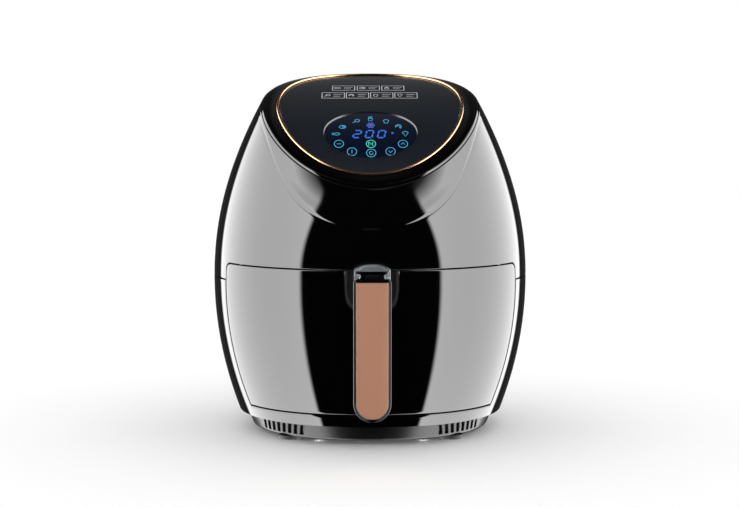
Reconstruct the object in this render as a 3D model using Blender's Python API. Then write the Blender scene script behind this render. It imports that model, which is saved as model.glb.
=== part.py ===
"""Egg-shaped digital air fryer: housing, heating head, pull-out drawer with basket and handle.

Frame: metres, +Z up, +X to the user's right, the front faces -Y.
The origin lies on the standing surface, under the middle of the whole object's outline.
"""

import math

import bpy
from mathutils import Matrix, Vector

# Fits
GAP = 0.0003                # between pieces that touch
SLIDE_GAP = 0.0010          # between pieces that slide past each other
WALL = 0.0026               # moulded shell

# Egg body: half width at a height, written about the belly, which is its widest level
BELLY_Z = 0.150
BELLY_HALF_WIDTH = 0.1555
BELLY_HALF_DEPTH = 0.1530
TAPER_SPAN = 0.105          # distance from the belly at which the tapers below are reached
TAPER_UP = 0.110
TAPER_UP_POWER = 2.12
TAPER_DOWN = 0.102
BELLY_SQUARENESS = 2.15     # exponent of the horizontal sections, 2 is an ellipse
SEGMENTS = 48

# Tilted top: the sections lean forwards from TILT_START_Z up to the bezel seam
TILT_START_Z = 0.170
SEAM_Z = 0.320              # bezel seam, at the sides of the body
SEAM_HALF_DEPTH = 0.1075
SEAM_SLOPE = 0.488
TOP_CENTRE_Y = -0.0090      # from the body's axis
TOP_SLOPE = 0.528
TOP_BEND = 2.078
TOP_Z = 0.3205              # panel surface above the top's centre

# Bezel, gold ring, panel, display
BEZEL_RISE = 0.0015
BEZEL_HEIGHT = 0.010
RING_HALF_WIDTH = 0.0915
RING_HALF_DEPTH = 0.0915
RING_WIDTH = 0.0016
RING_RISE = 0.0006
RING_DEPTH = 0.0040
PANEL_THICKNESS = 0.0028
LENS_HALF_WIDTH = 0.0455
LENS_HALF_DEPTH = 0.0310
LENS_OFFSET_Y = -0.0424     # from the top's centre
LENS_SINK = 0.0012
LENS_THICKNESS = 0.0022

# Levels of the housing's parts
FOOT_RADIUS = 0.011
FOOT_SPREAD = 0.078
BASE_BOTTOM_Z = 0.004
BASE_TOP_Z = 0.0200
BASE_INSET = 0.0075
SPLIT_Z = 0.1535            # upper to lower housing, at the sides
DRAWER_TOP_Z = 0.1692
DRAWER_BOTTOM_Z = 0.0320
DRAWER_EDGE_Y = -0.0740     # the drawer front's side edges, from the body's axis
SEAM_GAP = 0.0012           # visible joint round the drawer front

# Overall reach from the body's axis
HANDLE_REACH = 0.0500        # grip's face in front of the belly
FRONT_REACH = BELLY_HALF_DEPTH + HANDLE_REACH
BACK_STANDOFF = 0.0090       # cord gland behind the belly
BACK_REACH = BELLY_HALF_DEPTH + BACK_STANDOFF
AXIS_Y = (FRONT_REACH - BACK_REACH) / 2

# Pan and basket
PAN_HALF_TOP = 0.1210
PAN_HALF_BOTTOM = 0.1000
PAN_SQUARENESS = 3.0
PAN_CENTRE_Y = -0.0120
PAN_FLOOR_Z = 0.0400
PAN_RIM_Z = 0.1500
PAN_WALL = 0.0012
PAN_RIM_WIDTH = 0.0045
PAN_SEGMENTS = 40
BASKET_CLEARANCE = 0.0040
BASKET_WALL = 0.0012
BASKET_FLOOR_LIFT = 0.0080
BASKET_SLOTS = 9
BASKET_SLOT_WIDTH = 0.0060
BASKET_SLOT_PITCH = 0.0150

# Cavity round the pan
LINER_CLEARANCE = 0.0050
LINER_WALL = 0.0012
LINER_FRONT_Y = -0.0700
RAIL_HEIGHT = 0.0100

# Heating head, upwards from the cavity
CHAMBER_HALF = 0.1180
CHAMBER_BOTTOM_Z = 0.1640
CHAMBER_TOP_Z = 0.2060
CHAMBER_WALL = 0.0010
GUARD_Z = 0.1624
GUARD_RADIUS = 0.0920
GUARD_WIRE = 0.0012
GUARD_RINGS = 4
HEATER_Z = 0.1735
HEATER_RADIUS = 0.0820
HEATER_PITCH = 0.0170
HEATER_TUBE = 0.0033
HEATER_TURNS = 3
FAN_Z = 0.1860
FAN_RADIUS = 0.0680
FAN_HEIGHT = 0.0120
FAN_BLADES = 8
SHAFT_RADIUS = 0.0030
SHAFT_RUN = 0.00008         # radial clearance in the motor's bush
BRACKET_Z = 0.2330
BRACKET_HALF_LENGTH = 0.060
BRACKET_HALF_DEPTH = 0.017
BRACKET_SHEET = 0.0015
LEG_SHEET = 0.0020
COOLING_FAN_Z = 0.2110
COOLING_FAN_RADIUS = 0.0480
COOLING_FAN_HEIGHT = 0.0120
MOTOR_RADIUS = 0.0260
MOTOR_HEIGHT = 0.0260
HEAD_Y = 0.0150             # fan axis, from the body's axis

# Handle
HANDLE_HALF_WIDTH = 0.0169
HANDLE_TOP_Z = 0.1660
HANDLE_BOTTOM_Z = 0.0380
HANDLE_THICKNESS = 0.0195
INLAY_HALF_WIDTH = 0.0143
INLAY_MARGIN = 0.0016
INLAY_SINK = 0.0020
NECK_HALF_WIDTH = 0.0130
NECK_BOTTOM_Z = 0.1440
POCKET_HALF_WIDTH = 0.0247
POCKET_STRAIGHT_Z = 0.1500
POCKET_BOTTOM_Z = 0.1300
POCKET_DEPTH = 0.0130
POCKET_WALL = 0.0020

# Release button, its guard and latch
BUTTON_HALF_WIDTH = 0.0070
BUTTON_LENGTH = 0.0105
BUTTON_PROUD = 0.0030
BUTTON_HEIGHT = 0.0085
STEM_RADIUS = 0.0016
GUARD_HALF_WIDTH = 0.0160
GUARD_LENGTH = 0.0260
GUARD_TOP_Z = 0.1780
GUARD_WALL = 0.0016
LATCH_HALF_WIDTH = 0.0040
LATCH_THICKNESS = 0.0035


# ---------------------------------------------------------------- tools

def start_scene():
    for obj in list(bpy.data.objects):
        bpy.data.objects.remove(obj)


def finish(name, verts, faces, look, smooth=True):
    """A mesh object with its material; round pieces are shaded smooth."""
    mesh = bpy.data.meshes.new(name)
    mesh.from_pydata([tuple(v) for v in verts], [], faces)
    mesh.validate()
    obj = bpy.data.objects.new(name, mesh)
    bpy.context.scene.collection.objects.link(obj)
    if look:
        mesh.materials.append(look)
    if smooth:
        mesh.shade_smooth()
        mesh.set_sharp_from_angle(angle=math.radians(40))
    return obj


def paint(name, colour, roughness, metallic=0.0, alpha=1.0):
    look = bpy.data.materials.new(name)
    look.use_nodes = True
    shader = look.node_tree.nodes["Principled BSDF"]
    shader.inputs["Base Color"].default_value = (*colour, 1)
    shader.inputs["Roughness"].default_value = roughness
    shader.inputs["Metallic"].default_value = metallic
    shader.inputs["Alpha"].default_value = alpha
    return look


def loft(name, rings, look, closed_tube=False, smooth=True):
    """Rings of equal length joined in order: capped at both ends, or closed into a tube."""
    count = len(rings[0])
    verts = [v for ring in rings for v in ring]
    faces = []
    last = len(rings) if closed_tube else len(rings) - 1
    for r in range(last):
        a, b = r * count, ((r + 1) % len(rings)) * count
        for i in range(count):
            j = (i + 1) % count
            faces.append((a + i, a + j, b + j, b + i))
    if not closed_tube:
        faces.append(tuple(reversed(range(count))))
        faces.append(tuple(range((len(rings) - 1) * count, len(rings) * count)))
    return finish(name, verts, faces, look, smooth)


def block(name, low, high, look):
    x0, y0, z0 = low
    x1, y1, z1 = high
    rings = [[(x0, y0, z), (x1, y0, z), (x1, y1, z), (x0, y1, z)] for z in (z0, z1)]
    return loft(name, rings, look, smooth=False)


def circle(radius, z, centre=(0.0, 0.0), sides=32):
    turn = 2 * math.pi / sides
    return [(centre[0] + radius * math.cos(i * turn), centre[1] + radius * math.sin(i * turn), z)
            for i in range(sides)]


def turned(name, profile, centre, look, sides=32, ring=False):
    """A profile of (radius, height) turned about a vertical axis; a ring's profile is a loop."""
    rings = [circle(r, z, centre, sides) for r, z in profile]
    return loft(name, rings, look, closed_tube=ring)


def plate(name, outline, thickness_axis, low, high, look):
    """A flat outline, in the two axes that aren't the thickness axis, given a thickness."""
    def place(p, t):
        if thickness_axis == "x":
            return (t, p[0], p[1])
        if thickness_axis == "y":
            return (p[0], t, p[1])
        return (p[0], p[1], t)
    flip = thickness_axis == "y"
    ends = (high, low) if flip else (low, high)
    return loft(name, [[place(p, t) for p in outline] for t in ends], look, smooth=False)


def tube(name, points, radius, sides, look, closed=False):
    """A round wire along points."""
    count = len(points)
    rings = []
    side = None
    for i, p in enumerate(points):
        before = points[(i - 1) % count] if closed or i else points[0]
        after = points[(i + 1) % count] if closed or i < count - 1 else points[-1]
        along = (Vector(after) - Vector(before)).normalized()
        if side is None:
            side = along.orthogonal().normalized()
        side = (side - along * side.dot(along)).normalized()
        up = along.cross(side)
        rings.append([Vector(p) + radius * (math.cos(a) * side + math.sin(a) * up)
                      for a in (2 * math.pi * k / sides for k in range(sides))])
    return loft(name, rings, look, closed_tube=closed)


def boolean(obj, cutter, operation="DIFFERENCE"):
    """Cuts, joins or keeps the common part; the cutter isn't part of the object."""
    step = obj.modifiers.new(operation.lower(), "BOOLEAN")
    step.operation = operation
    step.solver = "EXACT"
    step.object = cutter
    cutter.hide_render = True
    cutter.display_type = "WIRE"


def axis_empty(name, place):
    empty = bpy.data.objects.new(name, None)
    empty.location = place
    bpy.context.scene.collection.objects.link(empty)
    return empty


def hang(obj, parent):
    """Parents a piece to the empty on its joint's axis, and leaves it where it is."""
    obj.parent = parent
    obj.matrix_parent_inverse = Matrix.Translation(-parent.location)


# ---------------------------------------------------------------- egg surface

def half_width(z):
    """Half width of the body at height z, measured at its sides."""
    if z >= BELLY_Z:
        fall = TAPER_UP * ((z - BELLY_Z) / TAPER_SPAN) ** TAPER_UP_POWER
    else:
        fall = TAPER_DOWN * ((BELLY_Z - z) / TAPER_SPAN) ** 2
    return BELLY_HALF_WIDTH * (1 - fall)


SEAM_HALF_WIDTH = half_width(SEAM_Z)


def lean(z):
    """How far a level has tilted towards the bezel seam, from 0 to 1."""
    return max(0.0, (z - TILT_START_Z) / (SEAM_Z - TILT_START_Z))


def top_surface(y):
    """Height of the tilted top over a place y from the body's axis."""
    run = y - TOP_CENTRE_Y
    return TOP_Z + TOP_SLOPE * run - TOP_BEND * run * run


def seam_surface(y):
    """Height of the bezel seam, which leans a little less than the top."""
    run = y - TOP_CENTRE_Y
    return SEAM_Z + SEAM_SLOPE * run - TOP_BEND * run * run


def squircle(half_x, half_y, exponent, angle):
    c, s = math.cos(angle), math.sin(angle)
    x = half_x * math.copysign(abs(c) ** (2 / exponent), c)
    y = half_y * math.copysign(abs(s) ** (2 / exponent), s)
    return x, y


def skin(z, angle, inset=0.0):
    """A point of the body, on the level that has height z at the body's sides."""
    s = lean(z)
    depth_share = BELLY_HALF_DEPTH / BELLY_HALF_WIDTH
    depth_share += s * (SEAM_HALF_DEPTH / SEAM_HALF_WIDTH - depth_share)
    exponent = BELLY_SQUARENESS + s * (2 - BELLY_SQUARENESS)
    half = half_width(z)
    x, y = squircle(half - inset, half * depth_share - inset, exponent, angle)
    seam_y = TOP_CENTRE_Y + SEAM_HALF_DEPTH * y / (half * depth_share)
    tilt = s * (seam_surface(seam_y) - SEAM_Z)
    return (x, y + s * TOP_CENTRE_Y + AXIS_Y, z + tilt)


def skin_ring(z, inset=0.0):
    turn = 2 * math.pi / SEGMENTS
    return [skin(z, i * turn, inset) for i in range(SEGMENTS)]


def shell(name, levels, wall, look):
    """A shell of the body between two levels, open at its bottom and top."""
    outer = [skin_ring(z) for z in levels]
    inner = [skin_ring(z, wall) for z in reversed(levels)]
    return loft(name, outer + inner, look, closed_tube=True)


def spread(low, high, count):
    return [low + (high - low) * i / (count - 1) for i in range(count)]


def top_ring(half_x, half_y, lift, centre_y=TOP_CENTRE_Y, sides=SEGMENTS, seam_share=0.0):
    """An oval raised by lift from the tilted top, or from the seam's surface, or between them."""
    turn = 2 * math.pi / sides
    ring = []
    for i in range(sides):
        x, y = half_x * math.cos(i * turn), centre_y + half_y * math.sin(i * turn)
        z = top_surface(y) + seam_share * (seam_surface(y) - top_surface(y))
        ring.append((x, y + AXIS_Y, z + lift))
    return ring


def top_disc(name, half_x, half_y, low, high, look, centre_y=TOP_CENTRE_Y, steps=3, sides=28):
    """An oval plate that follows the tilted top: concentric ovals above, and the same below."""
    shares = [i / steps for i in range(1, steps + 1)]
    above = [top_ring(half_x * s, half_y * s, high, centre_y, sides) for s in shares]
    below = [top_ring(half_x * s, half_y * s, low, centre_y, sides) for s in reversed(shares)]
    obj = loft(name, above + below, look, closed_tube=False)
    obj.data.flip_normals()
    return obj


# ---------------------------------------------------------------- housing

def front_cutter(name, low_z, high_z, edge_y):
    """The region of the drawer front: everything in front of edge_y between two heights."""
    reach = 2 * BELLY_HALF_WIDTH
    return block(name, (-reach, AXIS_Y - reach, low_z), (reach, AXIS_Y + edge_y, high_z), None)


def upper_housing(looks):
    levels = [SPLIT_Z + GAP] + spread(TILT_START_Z, SEAM_Z, 9)
    obj = shell("upper_housing", levels, WALL, looks["gloss_black"])
    boolean(obj, front_cutter("drawer_space_upper", 0, DRAWER_TOP_Z + SEAM_GAP / 2,
                              DRAWER_EDGE_Y + SEAM_GAP / 2))
    return obj


def lower_housing(looks):
    levels = spread(BASE_TOP_Z, SPLIT_Z - GAP, 7)
    obj = shell("lower_housing", levels, WALL, looks["gloss_black"])
    boolean(obj, front_cutter("drawer_space_lower", DRAWER_BOTTOM_Z - SEAM_GAP / 2, 1,
                              DRAWER_EDGE_Y + SEAM_GAP / 2))
    return obj


def base_plate(looks):
    """Shallow tray under the body, with slanted air slots at its front corners."""
    low = BASE_BOTTOM_Z
    levels = [low, low + 0.004, BASE_TOP_Z - GAP]
    insets = [BASE_INSET + 0.006, BASE_INSET, BASE_INSET - 0.003]
    outer = [skin_ring(BASE_TOP_Z, i) for i in insets]
    rings = [[(x, y, z) for x, y, _ in ring] for ring, z in zip(outer, levels)]
    obj = loft("base_plate", rings, looks["satin_black"])
    hollow = [(x * 0.93, AXIS_Y + (y - AXIS_Y) * 0.93) for x, y, _ in outer[1]]
    inside = plate("base_hollow", hollow, "z", low + 0.003, BASE_TOP_Z + 0.01, None)
    boolean(obj, inside)
    for side in (-1, 1):
        for i in range(8):
            angle = math.radians(-90 + side * (36 + 3.6 * i))
            boolean(obj, air_slot(f"air_slot_{side}_{i}", angle, side))
    return obj


def air_slot(name, angle, side):
    """A slanted slot cutter that crosses the tray's wall at one angle about the body's axis."""
    radius = half_width(BASE_TOP_Z) - BASE_INSET
    turn = Matrix.Rotation(angle, 4, "Z")
    lean_turn = Matrix.Rotation(side * math.radians(28), 4, "X")
    place = Matrix.Translation((0, AXIS_Y, (BASE_BOTTOM_Z + BASE_TOP_Z) / 2 + 0.001))
    out = Matrix.Translation((radius, 0, 0))
    cutter = block(name, (-0.02, -0.0012, -0.0045), (0.02, 0.0012, 0.0045), None)
    cutter.data.transform(place @ turn @ out @ lean_turn)
    return cutter


def feet(looks):
    made = []
    for tag_y, sy in (("front", -1), ("rear", 1)):
        for tag_x, sx in (("left", -1), ("right", 1)):
            centre = (sx * FOOT_SPREAD, AXIS_Y + sy * FOOT_SPREAD)
            profile = [(FOOT_RADIUS * 0.85, 0), (FOOT_RADIUS, 0.0012),
                       (FOOT_RADIUS, BASE_BOTTOM_Z - GAP)]
            made.append(turned(f"foot_{tag_y}_{tag_x}", profile, centre, looks["rubber"], 20))
    return made


def top_bezel(looks):
    """Rounded glossy ring between the body's seam and the gold ring."""
    outer = (SEAM_HALF_WIDTH - GAP, SEAM_HALF_DEPTH - GAP)
    inner = (RING_HALF_WIDTH + RING_WIDTH + GAP, RING_HALF_DEPTH + RING_WIDTH + GAP)
    across = [(0.00, GAP, 1.0), (0.08, 0.0028, 0.9), (0.30, 0.0034, 0.6), (0.60, 0.0022, 0.25),
              (0.85, BEZEL_RISE, 0.1), (1.00, 0.0, 0.0), (1.00, -BEZEL_HEIGHT, 0.0),
              (0.45, -BEZEL_HEIGHT, 0.3), (0.25, GAP, 1.0)]
    rings = []
    for share, lift, seam_share in across:
        half_x = outer[0] + share * (inner[0] - outer[0])
        half_y = outer[1] + share * (inner[1] - outer[1])
        rings.append(top_ring(half_x, half_y, lift, seam_share=seam_share))
    obj = loft("top_bezel", rings, looks["gloss_black"], closed_tube=True)
    return obj


def gold_ring(looks):
    rings = []
    for share, lift in ((0, RING_RISE), (1, RING_RISE), (1, -RING_DEPTH), (0, -RING_DEPTH)):
        grow = share * RING_WIDTH
        rings.append(top_ring(RING_HALF_WIDTH + grow, RING_HALF_DEPTH + grow, lift))
    obj = loft("gold_trim_ring", rings, looks["gold"], closed_tube=True)
    obj.data.flip_normals()
    return obj


def control_panel(looks):
    obj = top_disc("control_panel", RING_HALF_WIDTH - GAP, RING_HALF_DEPTH - GAP,
                   -PANEL_THICKNESS, 0.0, looks["panel"], steps=4, sides=SEGMENTS)
    centre = TOP_CENTRE_Y + LENS_OFFSET_Y
    grow = GAP
    cutter = top_disc("lens_seat", LENS_HALF_WIDTH + grow, LENS_HALF_DEPTH + grow,
                      -0.02, 0.02, None, centre)
    boolean(obj, cutter)
    return obj


def display(looks):
    centre = TOP_CENTRE_Y + LENS_OFFSET_Y
    lens = top_disc("display_lens", LENS_HALF_WIDTH, LENS_HALF_DEPTH,
                    -LENS_SINK - LENS_THICKNESS, -LENS_SINK, looks["lens"], centre)
    board_gap = 0.0060
    board = top_disc("display_board", LENS_HALF_WIDTH + 0.010, LENS_HALF_DEPTH + 0.006,
                     -board_gap - 0.0016, -board_gap, looks["circuit"], centre, 2)
    return [lens, board]


def touch_pads(looks):
    """Foam-backed touch electrodes between the display board and the lens."""
    made = []
    turns = (("left", -0.030, -0.004), ("centre", 0.0, -0.019), ("right", 0.030, -0.004))
    for tag, x, y in turns:
        centre_y = TOP_CENTRE_Y + LENS_OFFSET_Y + y
        pad = top_disc(f"touch_pad_{tag}", 0.0045, 0.0045, -0.0060 + GAP,
                       -LENS_SINK - LENS_THICKNESS - GAP, looks["circuit"], centre_y, 1, 12)
        pad.data.transform(Matrix.Translation((x, 0, 0)))
        made.append(pad)
    return made


def rear_grille(looks):
    """Hot air outlet: a bowed grille frame low on the back, standing proud of the shell."""
    half_x, low, high = 0.045, 0.172, 0.228
    face_y = AXIS_Y + BACK_REACH
    root_y = AXIS_Y + 0.1320
    outline = rounded_rect(half_x, (low + high) / 2, (high - low) / 2, 0.012)
    frame = plate("rear_air_outlet", outline, "y", root_y, face_y, looks["satin_black"])
    core = rounded_rect(half_x - 0.004, (low + high) / 2, (high - low) / 2 - 0.004, 0.009)
    boolean(frame, plate("outlet_core", core, "y", root_y - 0.01, face_y - 0.004, None))
    for i in range(7):
        z = low + 0.0105 + i * 0.0065
        slot = block(f"outlet_slot_{i}", (-half_x + 0.010, root_y, z - 0.0014),
                     (half_x - 0.010, face_y + 0.01, z + 0.0014), None)
        boolean(frame, slot)
    return frame, outline


def rounded_rect(half_x, mid_z, half_z, radius, steps=4):
    """Outline with round corners, anticlockwise."""
    points = []
    for sx, sz, start in ((1, 1, 0), (-1, 1, 90), (-1, -1, 180), (1, -1, 270)):
        for k in range(steps + 1):
            a = math.radians(start + 90 * k / steps)
            points.append((sx * (half_x - radius) + radius * math.cos(a),
                           mid_z + sz * (half_z - radius) + radius * math.sin(a)))
    return points


def cord_gland(looks):
    """Moulded bush in the lower back wall that the mains lead would leave through."""
    z = 0.050
    centre = 0.045
    root_y, end_y = AXIS_Y + 0.1180, AXIS_Y + 0.1500
    profile = [(0.0060, root_y), (0.0060, end_y - 0.012), (0.0085, end_y - 0.010), (0.0075, end_y)]
    bore = [(0.0036, end_y), (0.0036, root_y)]
    rings = [[(centre + r * math.cos(a), y, z - r * math.sin(a))
              for a in (2 * math.pi * k / 16 for k in range(16))] for r, y in profile + bore]
    obj = loft("cord_gland", rings, looks["rubber"], closed_tube=True)
    hole = [(centre + 0.0063 * math.cos(a), z + 0.0063 * math.sin(a))
            for a in (2 * math.pi * k / 16 for k in range(16))]
    return obj, plate("gland_hole", hole, "y", AXIS_Y + 0.05, AXIS_Y + 0.2, None)


# ---------------------------------------------------------------- cavity and heating head

def pan_ring(half, z):
    """Rounded-square ring about the pan's centre."""
    ring = []
    for i in range(PAN_SEGMENTS):
        x, y = squircle(half, half, PAN_SQUARENESS, 2 * math.pi * i / PAN_SEGMENTS)
        ring.append((x, AXIS_Y + PAN_CENTRE_Y + y, z))
    return ring


def pan_half(z):
    share = (z - PAN_FLOOR_Z) / (PAN_RIM_Z - PAN_FLOOR_Z)
    return PAN_HALF_BOTTOM + share * (PAN_HALF_TOP - PAN_HALF_BOTTOM)


def cavity_liner(looks):
    """Sheet-metal tub round the pan, straight-sided towards the front and open there."""
    low_z = PAN_FLOOR_Z - LINER_CLEARANCE + LINER_WALL
    high_z = PAN_RIM_Z + 0.010
    grow = PAN_RIM_WIDTH + SLIDE_GAP
    outer_top = PAN_HALF_TOP + grow + LINER_WALL
    outer_low = PAN_HALF_BOTTOM + LINER_CLEARANCE + LINER_WALL
    levels = [(outer_low, low_z - LINER_WALL), (outer_low + 0.004, low_z + 0.012),
              (outer_top, PAN_RIM_Z - 0.020), (outer_top, high_z)]
    outer = [pan_ring(half, z) for half, z in levels]
    inner = [pan_ring(half - LINER_WALL, z) for half, z in reversed(levels[1:])]
    inner.append(pan_ring(outer_low - LINER_WALL, low_z))
    obj = loft("cavity_liner", outer + inner, looks["galvanised"])
    cut = block("liner_mouth", (-0.2, AXIS_Y - 0.3, 0), (0.2, AXIS_Y + PAN_CENTRE_Y, 0.3), None)
    boolean(obj, cut)
    return obj


def guide_rails(looks):
    """Angle rails that carry the pan's rim, forwards from the liner to the drawer opening."""
    made = []
    half = PAN_HALF_TOP + SLIDE_GAP
    z = PAN_RIM_Z - 0.0016 - 0.0005
    for tag, side in (("left", -1), ("right", 1)):
        far_x = half + PAN_RIM_WIDTH + SLIDE_GAP
        outline = [(side * half, z - 0.0030), (side * (far_x + 0.0015), z - 0.0030),
                   (side * (far_x + 0.0015), z + RAIL_HEIGHT - 0.003), (side * far_x, z + RAIL_HEIGHT - 0.003),
                   (side * far_x, z), (side * half, z)]
        if side < 0:
            outline.reverse()
        front = AXIS_Y + LINER_FRONT_Y
        back = AXIS_Y + PAN_CENTRE_Y - GAP
        made.append(plate(f"guide_rail_{tag}", outline, "y", front, back, looks["galvanised"]))
    return made


def heat_chamber(looks):
    """Reflector dome over the heater and the hot-air fan, with a hole for the shaft."""
    centre = (0, AXIS_Y + HEAD_Y)
    w = CHAMBER_WALL
    low, top = CHAMBER_BOTTOM_Z, CHAMBER_TOP_Z
    r = CHAMBER_HALF - 0.012
    hole = SHAFT_RADIUS + 0.004
    profile = [(r + 0.010, low), (r + 0.010, low + w), (r, low + w), (r - 0.004, top - 0.008),
               (r - 0.012, top), (hole, top), (hole, top - w), (r - 0.012 - w * 0.5, top - w),
               (r - 0.004 - w, top - 0.008 - w * 0.5), (r - w, low)]
    return turned("heat_chamber", profile, centre, looks["galvanised"], 36, ring=True)


def heater_coil(looks):
    """Sheathed element: a flat spiral of turns, with both cold ends turned up."""
    centre_y = AXIS_Y + HEAD_Y
    points = []
    per_turn = 18
    steps = HEATER_TURNS * per_turn
    for i in range(steps + 1):
        a = 2 * math.pi * i / per_turn
        r = HEATER_RADIUS - HEATER_PITCH * i / per_turn
        points.append((r * math.cos(a), centre_y + r * math.sin(a), HEATER_Z))
    return tube("heater_coil", points, HEATER_TUBE, 6, looks["heater"])


def heater_guard(looks):
    """Wire guard under the element: rings crossed by radial bars."""
    centre = (0, AXIS_Y + HEAD_Y)
    half_wire = GUARD_WIRE
    obj = None
    for i in range(GUARD_RINGS):
        r = GUARD_RADIUS * (i + 1) / GUARD_RINGS
        profile = [(r - half_wire, GUARD_Z - half_wire), (r + half_wire, GUARD_Z - half_wire),
                   (r + half_wire, GUARD_Z + half_wire), (r - half_wire, GUARD_Z + half_wire)]
        ring = turned("heater_guard" if obj is None else f"guard_ring_{i}", profile, centre,
                      looks["wire"], 20, ring=True)
        if obj is None:
            obj = ring
        else:
            boolean(obj, ring, "UNION")
    for k in range(3):
        reach = CHAMBER_HALF - 0.006
        bar = block(f"guard_bar_{k}", (-reach, -0.0009, -0.0009), (reach, 0.0009, 0.0009), None)
        bar.data.transform(Matrix.Translation((centre[0], centre[1], GUARD_Z))
                           @ Matrix.Rotation(math.radians(60 * k + 10), 4, "Z"))
        boolean(obj, bar, "UNION")
    return obj


def motor_parts(looks):
    """Folded bracket on the heat chamber, and the motor that stands on it."""
    centre = (0, AXIS_Y + HEAD_Y)
    z, reach, half = BRACKET_Z, BRACKET_HALF_LENGTH, BRACKET_HALF_DEPTH
    bracket = block("motor_bracket", (-reach, centre[1] - half, z),
                    (reach, centre[1] + half, z + BRACKET_SHEET), looks["galvanised"])
    for side in (-1, 1):
        x0, x1 = sorted((side * reach, side * (reach - LEG_SHEET)))
        leg = block(f"bracket_leg_{side}", (x0, centre[1] - half, CHAMBER_TOP_Z + GAP),
                    (x1, centre[1] + half, z + BRACKET_SHEET / 2), None)
        boolean(bracket, leg, "UNION")
    hole_radius = SHAFT_RADIUS + 2 * SLIDE_GAP
    clear = turned("bracket_hole", [(hole_radius, z - 0.01), (hole_radius, z + 0.01)], centre, None, 20)
    boolean(bracket, clear)
    low = z + BRACKET_SHEET + GAP
    high = low + MOTOR_HEIGHT
    bore = SHAFT_RADIUS + SHAFT_RUN
    collar, collar_high = 0.0100, high + 0.0030
    profile = [(bore, low), (MOTOR_RADIUS, low), (MOTOR_RADIUS, high), (collar, high),
               (collar, collar_high), (bore, collar_high)]
    motor = turned("fan_motor", profile, centre, looks["motor_steel"], 28, ring=True)
    return [bracket, motor], collar_high + BRACKET_SHEET


def bladed_wheel(name, radius, height, z, blades, look, hub=0.010, disc=0.0012):
    """A disc with upright blades round a hub, bored for the shaft."""
    centre = (0, AXIS_Y + HEAD_Y)
    bore = SHAFT_RADIUS + GAP
    profile = [(bore, z), (radius, z), (radius, z + disc), (hub, z + disc), (hub, z + height * 0.8),
               (bore, z + height * 0.8)]
    wheel = turned(name, profile, centre, look, 28, ring=True)
    for k in range(blades):
        low_z, high_z = z + disc * 0.5, z + height
        blade = block(f"{name}_blade_{k}", (radius * 0.42, -0.0006, 0), (radius * 0.97, 0.0006, 1), None)
        blade.data.transform(Matrix.Translation((0, 0, low_z)) @ Matrix.Diagonal((1, 1, high_z - low_z, 1)))
        blade.data.transform(Matrix.Translation((centre[0], centre[1], 0))
                             @ Matrix.Rotation(2 * math.pi * k / blades, 4, "Z")
                             @ Matrix.Translation((radius * 0.42, 0, 0))
                             @ Matrix.Rotation(math.radians(24), 4, "Z")
                             @ Matrix.Translation((-radius * 0.42, 0, 0)))
        boolean(wheel, blade, "UNION")
    return wheel


def fan_rotor(looks, shaft_top):
    centre = (0, AXIS_Y + HEAD_Y)
    hot = bladed_wheel("hot_air_fan", FAN_RADIUS, FAN_HEIGHT, FAN_Z, FAN_BLADES, looks["galvanised"])
    cool = bladed_wheel("cooling_fan", COOLING_FAN_RADIUS, COOLING_FAN_HEIGHT, COOLING_FAN_Z,
                        6, looks["natural_plastic"])
    low = FAN_Z - 0.005
    shaft = turned("motor_shaft", [(SHAFT_RADIUS, low), (SHAFT_RADIUS, shaft_top)], centre,
                   looks["motor_steel"], 24)
    nut_r = (SHAFT_RADIUS + GAP) / math.cos(math.pi / 6)
    nut = turned("fan_nut", [(nut_r, FAN_Z - 0.0042), (0.0062, FAN_Z - 0.0042),
                             (0.0062, FAN_Z - GAP), (nut_r, FAN_Z - GAP)],
                 centre, looks["motor_steel"], 6, ring=True)
    return [hot, cool, shaft, nut]


def electrics(looks):
    """Power board, temperature probe, thermal fuse and the drawer switch."""
    made = []
    y = AXIS_Y + 0.080
    made.append(block("power_board", (-0.045, y, 0.2150), (0.030, y + 0.0016, 0.2620), looks["circuit"]))
    centre_y = AXIS_Y + HEAD_Y
    probe = turned("temperature_probe", [(0.0022, 0.1780), (0.0022, CHAMBER_TOP_Z - 0.0080)],
                   (0, 0), looks["motor_steel"], 12)
    probe.data.transform(Matrix.Translation((0.0915, centre_y, 0)))
    made.append(probe)
    fuse = turned("thermal_fuse", [(0.0035, CHAMBER_TOP_Z + GAP), (0.0035, CHAMBER_TOP_Z + 0.0080)],
                  (0, 0), looks["motor_steel"], 12)
    fuse.data.transform(Matrix.Translation((-0.080, centre_y, 0)))
    made.append(fuse)
    return made


def drawer_switch(looks):
    """Safety switch behind the liner, and the plunger that the closed pan holds in."""
    z = SWITCH_Z
    radius = 0.0020
    tip = AXIS_Y + PAN_CENTRE_Y + pan_half(z + radius) + GAP
    body_y = AXIS_Y + PAN_CENTRE_Y + PAN_HALF_TOP + PAN_RIM_WIDTH + SLIDE_GAP + LINER_WALL + 0.002
    body = block("drawer_switch", (-0.0100, body_y, z - 0.0065), (0.0100, body_y + 0.0135, z + 0.0065),
                 looks["satin_black"])
    bore = rod("switch_bore", (0, body_y - 0.01, z), (0, body_y + 0.0110, z), radius + SHAFT_RUN, None)
    boolean(body, bore)
    plunger = rod("switch_plunger", (0, tip, z), (0, body_y + 0.0100, z), radius, looks["natural_plastic"])
    hole = rod("plunger_hole", (0, tip - 0.02, z), (0, body_y + 0.03, z), radius + SLIDE_GAP, None)
    return body, plunger, hole


def rod(name, start, end, radius, look, sides=24):
    return tube(name, [start, end], radius, sides, look)


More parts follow.
